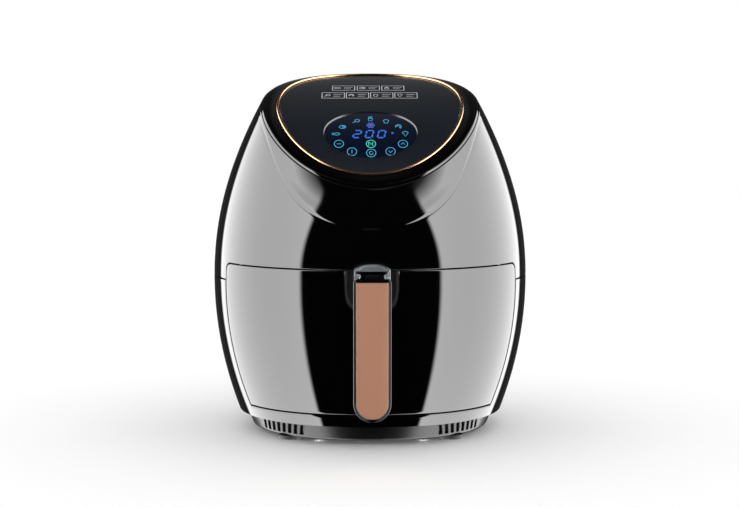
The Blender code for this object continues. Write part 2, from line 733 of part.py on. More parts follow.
def base_screws(looks, base):
    made = []
    for tag_y, sy in (("front", -1), ("rear", 1)):
        for tag_x, sx in (("left", -1), ("right", 1)):
            centre = (sx * 0.050, AXIS_Y + sy * 0.092)
            low = BASE_BOTTOM_Z - 0.0018
            profile = [(0.0030, low), (0.0038, low + 0.0006), (0.0038, BASE_BOTTOM_Z - GAP),
                       (0.0019, BASE_BOTTOM_Z - GAP), (0.0019, BASE_BOTTOM_Z + 0.0110)]
            made.append(turned(f"base_screw_{tag_y}_{tag_x}", profile, centre, looks["motor_steel"], 14))
            hole = [(0.0023, 0), (0.0023, BASE_TOP_Z)]
            boolean(base, turned(f"screw_hole_{tag_y}_{tag_x}", hole, centre, None, 14))
    return made


# ---------------------------------------------------------------- drawer

def shield(grow=0.0, top=DRAWER_TOP_Z):
    """Pocket outline: straight sides that curve in to a round lower end."""
    half = POCKET_HALF_WIDTH + grow
    low = POCKET_BOTTOM_Z - grow
    points = [(half, top), (-half, top)]
    steps = 10
    for k in range(steps + 1):
        a = math.pi * k / steps
        x = -half * math.copysign(abs(math.cos(a)) ** 0.8, math.cos(a))
        points.append((x, POCKET_STRAIGHT_Z - (POCKET_STRAIGHT_Z - low) * math.sin(a) ** 0.8))
    return points


def neck_outline(grow=0.0):
    half = NECK_HALF_WIDTH + grow
    return [(half, NECK_BOTTOM_Z - grow), (half, 0.2), (-half, 0.2), (-half, NECK_BOTTOM_Z - grow)]


def drawer_front(looks):
    levels = spread(DRAWER_BOTTOM_Z, DRAWER_TOP_Z, 7)
    obj = shell("drawer_front", levels, WALL, looks["gloss_black"])
    keep = front_cutter("drawer_region", 0, 1, DRAWER_EDGE_Y - SEAM_GAP / 2)
    boolean(obj, keep, "INTERSECT")
    opening = plate("pocket_opening", shield(GAP, 0.2), "y", AXIS_Y - 0.2, AXIS_Y - 0.1, None)
    boolean(obj, opening)
    return obj


def handle_pocket(looks):
    """Dark tray let into the drawer front, so that fingers reach the neck of the handle."""
    face = AXIS_Y - BELLY_HALF_DEPTH + 0.0022
    back = face + POCKET_DEPTH
    obj = plate("handle_pocket", shield(), "y", face, back, looks["satin_black"])
    inside = plate("pocket_hollow", shield(-POCKET_WALL, 0.2), "y", face - 0.05, back - POCKET_WALL, None)
    boolean(obj, inside)
    passage = plate("neck_passage", neck_outline(GAP), "y", face - 0.05, back + 0.05, None)
    boolean(obj, passage)
    return obj


def cup(name, levels, wall, floor, look):
    """A tub with a floor: outer rings up, inner rings down."""
    outer = [pan_ring(half, z) for half, z in levels]
    inner = [pan_ring(half - wall, z) for half, z in reversed(levels[1:])]
    inner.append(pan_ring(levels[0][0] - wall, levels[0][1] + floor))
    return loft(name, outer + inner, look)


def pan(looks):
    low, rim = PAN_FLOOR_Z, PAN_RIM_Z
    flange = 0.0015
    wall = PAN_WALL
    outer = [pan_ring(PAN_HALF_BOTTOM - 0.004, low), pan_ring(pan_half(low + 0.006), low + 0.006),
             pan_ring(pan_half(rim - flange), rim - flange),
             pan_ring(PAN_HALF_TOP + PAN_RIM_WIDTH, rim - flange), pan_ring(PAN_HALF_TOP + PAN_RIM_WIDTH, rim)]
    inner = [pan_ring(PAN_HALF_TOP - wall, rim), pan_ring(pan_half(low + 0.007) - wall, low + 0.007),
             pan_ring(PAN_HALF_BOTTOM - 0.004 - wall, low + wall)]
    return loft("pan", outer + inner, looks["nonstick"])


def basket_half(z):
    return pan_half(z) - PAN_WALL - BASKET_CLEARANCE


BASKET_FLOOR_Z = PAN_FLOOR_Z + PAN_WALL + BASKET_FLOOR_LIFT
BASKET_RIM_Z = PAN_RIM_Z + 0.0010


def basket(looks):
    """Frying basket: a tub whose floor is slotted, and whose lower wall has slots too."""
    low, rim = BASKET_FLOOR_Z, BASKET_RIM_Z
    levels = [(basket_half(low) - 0.004, low), (basket_half(low + 0.006), low + 0.006),
              (basket_half(rim), rim)]
    obj = cup("basket", levels, BASKET_WALL, BASKET_WALL, looks["nonstick"])
    centre = AXIS_Y + PAN_CENTRE_Y
    for i in range(BASKET_SLOTS):
        x = (i - (BASKET_SLOTS - 1) / 2) * BASKET_SLOT_PITCH
        reach = basket_half(low) * 0.72
        slot = block(f"floor_slot_{i}", (x - BASKET_SLOT_WIDTH / 2, centre - reach, low - 0.004),
                     (x + BASKET_SLOT_WIDTH / 2, centre + reach, low + 0.004), None)
        boolean(obj, slot)
    return obj


def bracket_outline():
    """Side view of the hanger, over the rim and down the inside of the basket's front wall."""
    def wall_y(z):
        return AXIS_Y + PAN_CENTRE_Y - basket_half(z) + BASKET_WALL + 0.0006
    low, bend = 0.1220, 0.1510
    top = NECK_TONGUE_TOP + GAP
    t = 0.0015
    tip = TONGUE_FRONT_Y + SLIDE_GAP
    return [(wall_y(low), low), (wall_y(low) + t, low), (wall_y(bend) + t, bend),
            (wall_y(bend) + t, top + t), (tip, top + t), (tip, top), (wall_y(bend), top),
            (wall_y(bend), bend)]


NECK_BACK_Y = AXIS_Y - 0.1420
TONGUE_BACK_Y = AXIS_Y - 0.1290
TONGUE_FRONT_Y = AXIS_Y - 0.1375
NECK_TOP_Z = HANDLE_TOP_Z - 0.0010
NECK_TONGUE_BOTTOM = BASKET_RIM_Z + 0.0005
NECK_TONGUE_TOP = NECK_TONGUE_BOTTOM + 0.0070
HANDLE_FRONT = AXIS_Y - FRONT_REACH
HANDLE_BACK = HANDLE_FRONT + HANDLE_THICKNESS
BUTTON_FRONT = HANDLE_FRONT + 0.0080
LATCH_PIVOT_Y = AXIS_Y - 0.1680
LATCH_TOP_Z = HANDLE_TOP_Z + BUTTON_PROUD - BUTTON_HEIGHT - 0.0050
LATCH_PIVOT_Z = LATCH_TOP_Z - LATCH_THICKNESS / 2
SLOT_HALF = LATCH_HALF_WIDTH + SLIDE_GAP
PAN_BRACKET_HALF = 0.0350
PAN_BRACKET_LOW = 0.0680
PAN_BRACKET_HIGH = 0.1180
PAN_BRACKET_CLEAR = 0.0022
HANGER_HALF = 0.0180
SWITCH_Z = 0.1250


def handle_parts(looks):
    """Grip with its well for the button, the neck that carries it, and the metal-look inlay."""
    half = HANDLE_HALF_WIDTH
    low_centre = HANDLE_BOTTOM_Z + half
    top = HANDLE_TOP_Z
    outline = [(half, top - 0.002), (half - 0.002, top), (-half + 0.002, top), (-half, top - 0.002)]
    outline += arc_below(half, low_centre)
    shell_obj = plate("handle_shell", outline, "y", HANDLE_FRONT, HANDLE_BACK, looks["gloss_black"])
    inner = INLAY_HALF_WIDTH
    inlay_top = top - INLAY_MARGIN
    inlay = [(inner, inlay_top), (-inner, inlay_top)] + arc_below(inner, low_centre)
    grown = [(inner + GAP, inlay_top + GAP), (-inner - GAP, inlay_top + GAP)]
    grown += arc_below(inner + GAP, low_centre)
    seat = HANDLE_FRONT + INLAY_SINK
    boolean(shell_obj, plate("inlay_seat", grown, "y", HANDLE_FRONT - 0.01, seat, None))
    inlay_obj = plate("handle_inlay", inlay, "y", HANDLE_FRONT + 0.0004, seat - GAP, looks["copper"])
    well = block("button_well", (-BUTTON_HALF_WIDTH - GAP, BUTTON_FRONT - GAP, 0.1420),
                 (BUTTON_HALF_WIDTH + GAP, HANDLE_BACK + 0.01, top + 0.01), None)
    boolean(shell_obj, well)
    side = [(HANDLE_BACK + GAP, NECK_BOTTOM_Z), (NECK_BACK_Y, NECK_BOTTOM_Z),
            (NECK_BACK_Y, NECK_TONGUE_BOTTOM), (TONGUE_BACK_Y, NECK_TONGUE_BOTTOM),
            (TONGUE_BACK_Y, NECK_TONGUE_TOP), (TONGUE_FRONT_Y, NECK_TONGUE_TOP),
            (TONGUE_FRONT_Y - 0.0020, NECK_TOP_Z), (HANDLE_BACK + GAP, NECK_TOP_Z)]
    neck = plate("handle_neck", side, "x", -NECK_HALF_WIDTH, NECK_HALF_WIDTH, looks["gloss_black"])
    slot = block("latch_slot", (-SLOT_HALF, HANDLE_BACK - 0.01, 0.1), (SLOT_HALF, TONGUE_FRONT_Y, 0.2), None)
    boolean(neck, slot)
    pin_radius = 0.0015
    pin_ends = [(-NECK_HALF_WIDTH + 0.001, LATCH_PIVOT_Y, LATCH_PIVOT_Z),
                (NECK_HALF_WIDTH - 0.001, LATCH_PIVOT_Y, LATCH_PIVOT_Z)]
    pin = rod("latch_pin", *pin_ends, pin_radius, looks["motor_steel"])
    reach = ((-0.03, LATCH_PIVOT_Y, LATCH_PIVOT_Z), (0.03, LATCH_PIVOT_Y, LATCH_PIVOT_Z))
    boolean(neck, rod("pin_hole", *reach, pin_radius + GAP, None))
    return [shell_obj, inlay_obj, neck, pin], reach, pin_radius


def arc_below(radius, centre_z, steps=12):
    """Half circle from the left side round the bottom to the right side."""
    return [(-radius * math.cos(math.pi * k / steps), centre_z - radius * math.sin(math.pi * k / steps))
            for k in range(steps + 1)]


def release_parts(looks, reach, pin_radius):
    """Button with its stem, return spring, latch lever and the clear sliding guard."""
    top = HANDLE_TOP_Z + BUTTON_PROUD
    low = top - BUTTON_HEIGHT
    half = BUTTON_HALF_WIDTH - 0.0003
    outline = [(-half, low), (half, low), (half, top - 0.0012), (half - 0.0012, top),
               (-half + 0.0012, top), (-half, top - 0.0012)]
    rear = BUTTON_FRONT + BUTTON_LENGTH
    button = plate("release_button", outline, "y", BUTTON_FRONT, rear, looks["satin_black"])
    stem_y = BUTTON_FRONT + 0.0025
    stem = turned("button_stem", [(STEM_RADIUS, LATCH_TOP_Z + GAP), (STEM_RADIUS, low + 0.002)],
                  (0, stem_y), None, 12)
    boolean(button, stem, "UNION")
    spring_y = rear - 0.0030
    spring_low, spring_high = LATCH_TOP_Z + GAP + 0.0006, low - GAP - 0.0006
    turns, per_turn = 3, 10
    points = []
    for i in range(turns * per_turn + 1):
        a = 2 * math.pi * i / per_turn
        z = spring_low + (spring_high - spring_low) * i / (turns * per_turn)
        points.append((0.0022 * math.cos(a), spring_y + 0.0022 * math.sin(a), z))
    spring = tube("button_spring", points, 0.0004, 5, looks["motor_steel"])
    high, bottom = LATCH_TOP_Z, LATCH_TOP_Z - LATCH_THICKNESS
    tip, hook = AXIS_Y - 0.1392, AXIS_Y - 0.1415
    side = [(BUTTON_FRONT + 0.0005, bottom), (hook, bottom), (hook, bottom - 0.0035),
            (tip, bottom - 0.0035), (tip, high), (BUTTON_FRONT + 0.0005, high)]
    latch = plate("release_latch", side, "x", -LATCH_HALF_WIDTH, LATCH_HALF_WIDTH, looks["satin_black"])
    boolean(latch, rod("latch_bore", *reach, pin_radius + 0.00006, None))
    guard = button_guard(looks)
    return [button, spring, latch, guard]


def button_guard(looks):
    """Clear arch over the button: a roof with a raised thumb rib, on two side rails."""
    front = HANDLE_FRONT + 0.0010
    back = front + GUARD_LENGTH
    low = HANDLE_TOP_Z + GAP
    half, wall, high = GUARD_HALF_WIDTH, GUARD_WALL, GUARD_TOP_Z
    inner_high = high - 0.0030 - wall
    outline = [(half, low), (half, high - 0.0040), (half - 0.0015, high - 0.0028)]
    steps = 8
    lens = half - 0.0045
    for k in range(steps + 1):
        a = math.pi * k / steps
        outline.append((lens * math.cos(a), high - 0.0028 + 0.0028 * math.sin(a)))
    outline += [(-half + 0.0015, high - 0.0028), (-half, high - 0.0040), (-half, low),
                (-half + wall, low), (-half + wall, inner_high), (half - wall, inner_high), (half - wall, low)]
    return plate("button_guard", outline, "y", front, back, looks["clear"])


def pan_bracket(looks):
    """Spacer that ties the pan's front wall to the drawer front. Its front face stands
    just clear of the drawer's inner face at the spacer's lower corners."""
    half = half_width(PAN_BRACKET_LOW)
    fall = (1 - (PAN_BRACKET_HALF / half) ** BELLY_SQUARENESS) ** (1 / BELLY_SQUARENESS)
    front = AXIS_Y - half * BELLY_HALF_DEPTH / BELLY_HALF_WIDTH * fall + WALL + PAN_BRACKET_CLEAR
    return block("pan_bracket", (-PAN_BRACKET_HALF, front, PAN_BRACKET_LOW),
                 (PAN_BRACKET_HALF, TONGUE_BACK_Y, PAN_BRACKET_HIGH), looks["galvanised"])


# ---------------------------------------------------------------- assembly

def materials():
    return {
        "gloss_black": paint("gloss_black", (0.006, 0.006, 0.008), 0.06),
        "satin_black": paint("satin_black", (0.018, 0.018, 0.020), 0.42),
        "panel": paint("smoked_panel", (0.010, 0.014, 0.022), 0.22),
        "lens": paint("display_glass", (0.004, 0.008, 0.030), 0.08),
        "gold": paint("gold_trim", (0.62, 0.36, 0.16), 0.22, 1.0),
        "copper": paint("copper_inlay", (0.50, 0.25, 0.16), 0.38, 0.8),
        "clear": paint("clear_plastic", (0.85, 0.87, 0.88), 0.05, 0.0, 0.35),
        "rubber": paint("rubber", (0.02, 0.02, 0.02), 0.8),
        "nonstick": paint("nonstick_coating", (0.035, 0.035, 0.037), 0.45),
        "galvanised": paint("galvanised_steel", (0.56, 0.57, 0.58), 0.38, 1.0),
        "heater": paint("heater_sheath", (0.10, 0.09, 0.085), 0.5, 0.9),
        "wire": paint("chromed_wire", (0.70, 0.70, 0.71), 0.2, 1.0),
        "motor_steel": paint("machined_steel", (0.48, 0.48, 0.50), 0.32, 1.0),
        "natural_plastic": paint("natural_plastic", (0.72, 0.70, 0.64), 0.5),
        "circuit": paint("circuit_board", (0.02, 0.12, 0.06), 0.5),
    }


def build():
    start_scene()
    looks = materials()
    upper, lower, base = upper_housing(looks), lower_housing(looks), base_plate(looks)
    feet(looks)
    base_screws(looks, base)
    top_bezel(looks)
    gold_ring(looks)
    control_panel(looks)
    display(looks)
    touch_pads(looks)
    _, outline = rear_grille(looks)
    middle = sum(z for _, z in outline) / len(outline)
    grown = [(x + math.copysign(GAP, x), z + math.copysign(GAP, z - middle)) for x, z in outline]
    boolean(upper, plate("outlet_window", grown, "y", AXIS_Y + 0.10, AXIS_Y + 0.2, None))
    _, gland_hole = cord_gland(looks)
    boolean(lower, gland_hole)
    liner = cavity_liner(looks)
    guide_rails(looks)
    heat_chamber(looks)
    heater_coil(looks)
    heater_guard(looks)
    _, shaft_top = motor_parts(looks)
    electrics(looks)
    _, plunger, plunger_hole = drawer_switch(looks)
    boolean(liner, plunger_hole)
    rotor = fan_rotor(looks, shaft_top)

    grip, reach, pin_radius = handle_parts(looks)
    drawer = [pan(looks), drawer_front(looks), handle_pocket(looks), pan_bracket(looks), basket(looks)]
    drawer.append(plate("basket_bracket", bracket_outline(), "x", -HANGER_HALF, HANGER_HALF, looks["galvanised"]))
    drawer += grip
    button, spring, latch, guard = release_parts(looks, reach, pin_radius)

    spin = axis_empty("fan_axis", (0, AXIS_Y + HEAD_Y, FAN_Z))
    slide = axis_empty("drawer_axis", (0, AXIS_Y + PAN_CENTRE_Y, PAN_RIM_Z))
    pivot = axis_empty("latch_axis", (0, LATCH_PIVOT_Y, LATCH_PIVOT_Z))
    press = axis_empty("button_axis", (0, BUTTON_FRONT + BUTTON_LENGTH / 2, HANDLE_TOP_Z))
    cover = axis_empty("guard_axis", (0, HANDLE_FRONT, HANDLE_TOP_Z))
    switch_axis = axis_empty("switch_axis", (0, AXIS_Y + PAN_CENTRE_Y + PAN_HALF_TOP, SWITCH_Z))
    for piece in rotor:
        hang(piece, spin)
    for piece in drawer + [spring]:
        hang(piece, slide)
    hang(latch, pivot)
    hang(button, press)
    hang(guard, cover)
    hang(plunger, switch_axis)


build()
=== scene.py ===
"""The looks of an egg-shaped air fryer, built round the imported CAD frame."""
import math

import bpy
import numpy as np
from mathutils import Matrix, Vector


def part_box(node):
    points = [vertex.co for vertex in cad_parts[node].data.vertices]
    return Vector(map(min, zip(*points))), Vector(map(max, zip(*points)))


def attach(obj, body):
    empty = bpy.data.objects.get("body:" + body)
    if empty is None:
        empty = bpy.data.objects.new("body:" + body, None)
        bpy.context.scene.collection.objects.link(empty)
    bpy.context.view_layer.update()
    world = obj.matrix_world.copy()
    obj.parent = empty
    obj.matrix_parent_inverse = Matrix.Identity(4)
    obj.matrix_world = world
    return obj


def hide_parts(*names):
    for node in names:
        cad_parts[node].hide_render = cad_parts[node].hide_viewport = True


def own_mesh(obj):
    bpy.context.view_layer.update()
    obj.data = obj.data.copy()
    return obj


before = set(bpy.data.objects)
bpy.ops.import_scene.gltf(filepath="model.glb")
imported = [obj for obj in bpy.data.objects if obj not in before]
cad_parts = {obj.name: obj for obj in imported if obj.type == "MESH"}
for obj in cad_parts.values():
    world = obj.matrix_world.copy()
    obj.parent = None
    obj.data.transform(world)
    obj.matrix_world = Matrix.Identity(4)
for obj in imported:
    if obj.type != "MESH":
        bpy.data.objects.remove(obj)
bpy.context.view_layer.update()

# ------------------------------ base and feet
# The base is a satin tray screwed under the body, with a row of slanted air slots
# in each front corner, and it stands on four soft rubber feet.
FRONT_LEFT_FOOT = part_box("foot_front_left")
REAR_RIGHT_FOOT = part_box("foot_rear_right")
AXIS_Y = (FRONT_LEFT_FOOT[0][1] + REAR_RIGHT_FOOT[1][1]) / 2
BELLY_Z = 0.150
BELLY_HALF_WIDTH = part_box("lower_housing")[1][0]
BELLY_HALF_DEPTH = 0.1530
TAPER_SPAN = 0.105
TAPER_UP = 0.110
TAPER_UP_POWER = 2.12
TAPER_DOWN = 0.102
BELLY_SQUARENESS = 2.15
TILT_START_Z = 0.170
SEAM_Z = 0.320
SEAM_HALF_DEPTH = 0.1075
SEAM_SLOPE = 0.488
TOP_CENTRE_Y = -0.0090
TOP_BEND = 2.078
BASE_LOW, BASE_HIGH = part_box("base_plate")
BASE_INSET = 0.0075
BASE_EDGE = 0.0022
SLOT_COUNT = 8
SLOT_FIRST = math.radians(33)
SLOT_STEP = math.radians(3.6)
SLOT_HALF_WIDTH = math.radians(0.85)
SLOT_SLANT = math.radians(3.0)
SLOT_DEPTH = 0.0030
SLOT_RISE = 0.016
SLOT_START_UP = 0.0035
SLOT_STOP_DOWN = 0.0025
UNDERSIDE_INSET = 0.006
FOOT_EDGE = 0.0010


def half_width(z):
    """Half the body's width at a height: the belly's, less a taper that grows with the
    distance from the belly to the power 2.12 above it and to the square below it."""
    above = np.maximum(z - BELLY_Z, 0) / TAPER_SPAN
    below = np.maximum(BELLY_Z - z, 0) / TAPER_SPAN
    return BELLY_HALF_WIDTH * (1 - TAPER_UP * above ** TAPER_UP_POWER - TAPER_DOWN * below ** 2)


def seam_surface(y):
    """Height of the tilted seam round the top, at a distance from the axis: a slope, less
    a bend that grows with the square of the distance from the middle of the top."""
    run = y - TOP_CENTRE_Y
    return SEAM_Z + SEAM_SLOPE * run - TOP_BEND * run ** 2


def egg_skin(z, turn, inset=0.0):
    """The body's skin at a height and a turn from the front. Each level is a squircle, a
    cosine and sine raised to two over its exponent. Above the belly the levels lean
    forward, turn into plain ovals and rise towards the seam's tilted curve."""
    share = np.maximum(z - TILT_START_Z, 0) / (SEAM_Z - TILT_START_Z)
    half = half_width(z)
    belly_depth = BELLY_HALF_DEPTH / BELLY_HALF_WIDTH
    depth = belly_depth + share * (SEAM_HALF_DEPTH / half_width(SEAM_Z) - belly_depth)
    power = 2 / (BELLY_SQUARENESS + share * (2 - BELLY_SQUARENESS))
    across = np.sign(np.sin(turn)) * np.abs(np.sin(turn)) ** power
    along = -np.sign(np.cos(turn)) * np.abs(np.cos(turn)) ** power
    y = (half * depth - inset) * along
    tilt = share * (seam_surface(TOP_CENTRE_Y + SEAM_HALF_DEPTH * along) - SEAM_Z)
    return np.stack(np.broadcast_arrays(
        (half - inset) * across, y + share * TOP_CENTRE_Y + AXIS_Y, z + tilt), axis=-1)


def grid_faces(rows, columns, around, joined):
    """Four-sided faces between neighbours in a grid of points, numbered row by row. The
    last column meets the first if around, and the last row meets the first if joined."""
    row = np.arange(rows if joined else rows - 1)[:, None]
    column = np.arange(columns if around else columns - 1)[None, :]
    next_row = (row + 1) % rows
    next_column = (column + 1) % columns
    corners = (row * columns + column, row * columns + next_column,
               next_row * columns + next_column, next_row * columns + column)
    return np.stack(np.broadcast_arrays(*corners), axis=-1).reshape(-1, 4)


def new_piece(name, points, faces, body, slot, finish, replaces=(), sharp=40):
    """A smooth-shaded mesh at the origin. The faces are turned over if the volume they
    enclose, the sum of each face's triple product over six, comes out negative."""
    points = np.asarray(points, dtype=float).reshape(-1, 3)
    volume = 0.0
    for group in faces:
        corner = points[group]
        for step in range(1, corner.shape[1] - 1):
            volume += np.einsum("ij,ij->", corner[:, 0],
                                np.cross(corner[:, step], corner[:, step + 1]))
    listed = [face for group in faces for face in (group if volume > 0 else group[:, ::-1]).tolist()]
    mesh = bpy.data.meshes.new(name)
    mesh.from_pydata(points, [], listed)
    mesh.shade_smooth()
    mesh.set_sharp_from_angle(angle=math.radians(sharp))
    mesh.materials.append(finish)
    piece = bpy.data.objects.new(name, mesh)
    bpy.context.scene.collection.objects.link(piece)
    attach(piece, body)
    if replaces:
        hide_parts(*replaces)
    return piece


def capped(rings):
    """Points and faces of a stack of rings, closed by a centre point at each end."""
    rows, columns = rings.shape[:2]
    points = np.concatenate([rings.reshape(-1, 3), rings[:1].mean(axis=1), rings[-1:].mean(axis=1)])
    step = np.arange(columns)
    after = (step + 1) % columns
    low = np.stack([after, step, np.full(columns, rows * columns)], axis=1)
    last = (rows - 1) * columns
    high = np.stack([last + step, last + after, np.full(columns, rows * columns + 1)], axis=1)
    return points, [grid_faces(rows, columns, True, False), low, high]


def round_over(distance, radius):
    """How far a surface draws in near its edge: a quarter circle of the given radius."""
    near = np.clip(1 - distance / radius, 0, 1)
    return radius * (1 - np.sqrt(1 - near ** 2))


def socket(group, name, kind, output=False, default=None):
    """A named input or output on a shader node group."""
    made = group.interface.new_socket(
        name=name, in_out="OUTPUT" if output else "INPUT", socket_type="NodeSocket" + kind)
    if default is not None:
        made.default_value = default


# Shared effect: moulded grain. A fine noise gives a height for bump, and a slow
# noise gives a cloudiness that shifts the gloss a little.
grain = bpy.data.node_groups.new("moulded grain", "ShaderNodeTree")
socket(grain, "Scale", "Float", default=2500.0)
socket(grain, "Roughness", "Float", default=0.4)
socket(grain, "Spread", "Float", default=0.05)
socket(grain, "Height", "Float", output=True)
socket(grain, "Roughness", "Float", output=True)


def add(tree, kind, **settings):
    """A node of a kind, with its properties set and its named inputs given values or links."""
    node = tree.nodes.new("ShaderNode" + kind)
    inputs = settings.pop("inputs", {})
    for name, value in settings.items():
        setattr(node, name, value)
    for name, value in inputs.items():
        if isinstance(value, bpy.types.NodeSocket):
            tree.links.new(value, node.inputs[name])
        else:
            node.inputs[name].default_value = value
    return node


def math_node(tree, operation, *values):
    """The output of a Math node on the values or links given."""
    return add(tree, "Math", operation=operation, inputs=dict(enumerate(values))).outputs[0]


def varied(tree, noise, given):
    """The given roughness, moved up and down by a noise times the given spread."""
    shift = math_node(tree, "SUBTRACT", noise, 0.5)
    scaled = math_node(tree, "MULTIPLY", shift, given.outputs["Spread"])
    return math_node(tree, "ADD", scaled, given.outputs["Roughness"])


def group_ends(group):
    """The input and output nodes of a group."""
    return group.nodes.new("NodeGroupInput"), group.nodes.new("NodeGroupOutput")


given, result = group_ends(grain)
place = add(grain, "TexCoord").outputs["Object"]
fine = add(grain, "TexNoise", inputs={"Vector": place, "Scale": given.outputs["Scale"], "Detail": 3.0})
slow = add(grain, "TexNoise", inputs={"Vector": place, "Scale": 22.0, "Detail": 4.0})
grain.links.new(fine.outputs[0], result.inputs["Height"])
grain.links.new(varied(grain, slow.outputs[0], given), result.inputs["Roughness"])

# Shared effect: dust. Fine specks lighten the colour in patches, most of all on faces
# that look up.
dust = bpy.data.node_groups.new("dust and handling", "ShaderNodeTree")
socket(dust, "Color", "Color", default=(0.01, 0.01, 0.01, 1))
socket(dust, "Dust color", "Color", default=(0.35, 0.34, 0.33, 1))
socket(dust, "Amount", "Float", default=0.05)
socket(dust, "Color", "Color", output=True)
given, result = group_ends(dust)
place = add(dust, "TexCoord").outputs["Object"]
speck = add(dust, "TexNoise", inputs={"Vector": place, "Scale": 900.0, "Detail": 2.0})
patch = add(dust, "TexNoise", inputs={"Vector": place, "Scale": 14.0, "Detail": 5.0})
speck_mask = add(dust, "MapRange", inputs={0: speck.outputs[0], 1: 0.60, 2: 0.72})
facing = add(dust, "SeparateXYZ", inputs={0: add(dust, "NewGeometry").outputs["Normal"]})
upward = add(dust, "MapRange", inputs={0: facing.outputs["Z"], 1: -0.4, 2: 1.0, 3: 0.15, 4: 1.0})
amount = given.outputs["Amount"]
for mask in (upward, patch, speck_mask):
    amount = math_node(dust, "MULTIPLY", mask.outputs[0], amount)
mixed = add(dust, "Mix", data_type="RGBA")
dust.links.new(amount, mixed.inputs[0])
dust.links.new(given.outputs["Color"], mixed.inputs[6])
dust.links.new(given.outputs["Dust color"], mixed.inputs[7])
dust.links.new(mixed.outputs[2], result.inputs["Color"])


def textured(name, color, texture, settings, bump, dust_amount, **shader):
    """A material with its gloss and bump from a texture group, and dust in its colour.
    Values in shader are plain numbers for the Principled shader's own sockets."""
    made = bpy.data.materials.new(name)
    made.use_nodes = True
    tree = made.node_tree
    principled = tree.nodes["Principled BSDF"]
    pattern = add(tree, "Group", node_tree=texture, inputs=settings)
    dusty = add(tree, "Group", node_tree=dust, inputs={"Color": (*color, 1), "Amount": dust_amount})
    relief = add(tree, "Bump", inputs={
        "Strength": 1.0, "Distance": bump, "Height": pattern.outputs["Height"]})
    tree.links.new(dusty.outputs["Color"], principled.inputs["Base Color"])
    tree.links.new(pattern.outputs["Roughness"], principled.inputs["Roughness"])
    tree.links.new(relief.outputs[0], principled.inputs["Normal"])
    for key, value in shader.items():
        principled.inputs[key.replace("_", " ")].default_value = value
    return made


def plastic(name, color, roughness, grain_scale, bump, dust_amount, spread=0.05, **shader):
    """A moulded or coated finish with a fine grain."""
    settings = {"Scale": grain_scale, "Roughness": roughness, "Spread": spread}
    return textured(name, color, grain, settings, bump, dust_amount, **shader)


gloss_black = plastic("gloss black", (0.0009, 0.0009, 0.0011), 0.040, 700.0, 0.0000010, 0.004,
                      spread=0.03)
satin_black = plastic("satin black", (0.0045, 0.0045, 0.005), 0.26, 2600.0, 0.00002, 0.03,
                      Specular_IOR_Level=0.26)
rubber = plastic("rubber", (0.02, 0.02, 0.02), 0.75, 1500.0, 0.00008, 0.25)

turns = np.linspace(-np.pi, np.pi, 720, endpoint=False)
levels = np.concatenate([[BASE_LOW[2]] * 2, np.linspace(BASE_LOW[2], BASE_HIGH[2], 30)])
levels = levels[:, None] + 0 * turns[None, :]
inward = BASE_INSET + round_over(levels - BASE_LOW[2], BASE_EDGE)
slot_at = (np.abs(turns) - SLOT_FIRST)[None, :] + SLOT_SLANT * (levels - BASE_LOW[2]) / SLOT_RISE
slot_near = np.abs((slot_at + SLOT_STEP / 2) % SLOT_STEP - SLOT_STEP / 2)
slot_row = (slot_at > -SLOT_STEP / 2) & (slot_at < (SLOT_COUNT - 0.5) * SLOT_STEP)
slot_height = (levels > BASE_LOW[2] + SLOT_START_UP) & (levels < BASE_HIGH[2] - SLOT_STOP_DOWN)
inward = inward + SLOT_DEPTH * ((slot_near < SLOT_HALF_WIDTH) & slot_row & slot_height)
inward[0] += UNDERSIDE_INSET
base_rings = egg_skin(levels, turns[None, :], inward)
new_piece("base_tray", *capped(base_rings), "housing", "satin_black", satin_black, ("base_plate",))

circle_turns = np.linspace(-np.pi, np.pi, 64, endpoint=False)


def turned_piece(profile, centre):
    """Rings of a turned part: each (radius, height) of the profile carried round a centre."""
    profile = np.asarray(profile)
    x = centre[0] + profile[:, :1] * np.sin(circle_turns)
    y = centre[1] - profile[:, :1] * np.cos(circle_turns)
    return np.stack([x, y, np.broadcast_to(profile[:, 1:], x.shape)], axis=-1)


for end in ("front", "rear"):
    for side in ("left", "right"):
        node = f"foot_{end}_{side}"
        low, high = np.array(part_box(node))
        centre = (low + high) / 2
        radius = (high[0] - low[0]) / 2
        rise = np.linspace(0, FOOT_EDGE, 6)
        profile = [(radius - round_over(step, FOOT_EDGE), low[2] + step) for step in rise]
        new_piece(f"{node}_pad", *capped(turned_piece(profile + [(radius, high[2])], centre)),
                  "housing", "rubber", rubber, (node,))

# ------------------------------ lower housing
# The lower half is one glossy wrap that runs round the back from one edge of the
# drawer to the other, with a low sill under the drawer.
WALL = 0.0026
SEAM_HALF_GAP = 0.0006
EDGE_ROUND = 0.0009
DRAWER_EDGE_Y = 0.0740
DRAWER_BOTTOM_Z, DRAWER_TOP_Z = (corner[2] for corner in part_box("drawer_front"))
SPLIT_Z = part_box("lower_housing")[1][2]


def drawer_turn(z):
    """Turn from the front at which the body's skin meets the flat plane of the drawer's
    edges: the angle whose cosine is that distance over the half depth, to the power of
    half the squareness."""
    half_depth = half_width(z) * BELLY_HALF_DEPTH / BELLY_HALF_WIDTH
    return np.arccos((DRAWER_EDGE_Y / half_depth) ** (BELLY_SQUARENESS / 2))


def eased(count, lip=5, near=0.006):
    """Steps from 0 to 1, even except for a few close ones at each end for a rounded edge."""
    close = near * (np.arange(lip) / lip) ** 1.5
    return np.concatenate([close, np.linspace(near, 1 - near, count), 1 - close[::-1]])


def looped(rings):
    """Points and faces of rings whose last one joins the first."""
    return rings, [grid_faces(len(rings), rings.shape[1], True, True)]


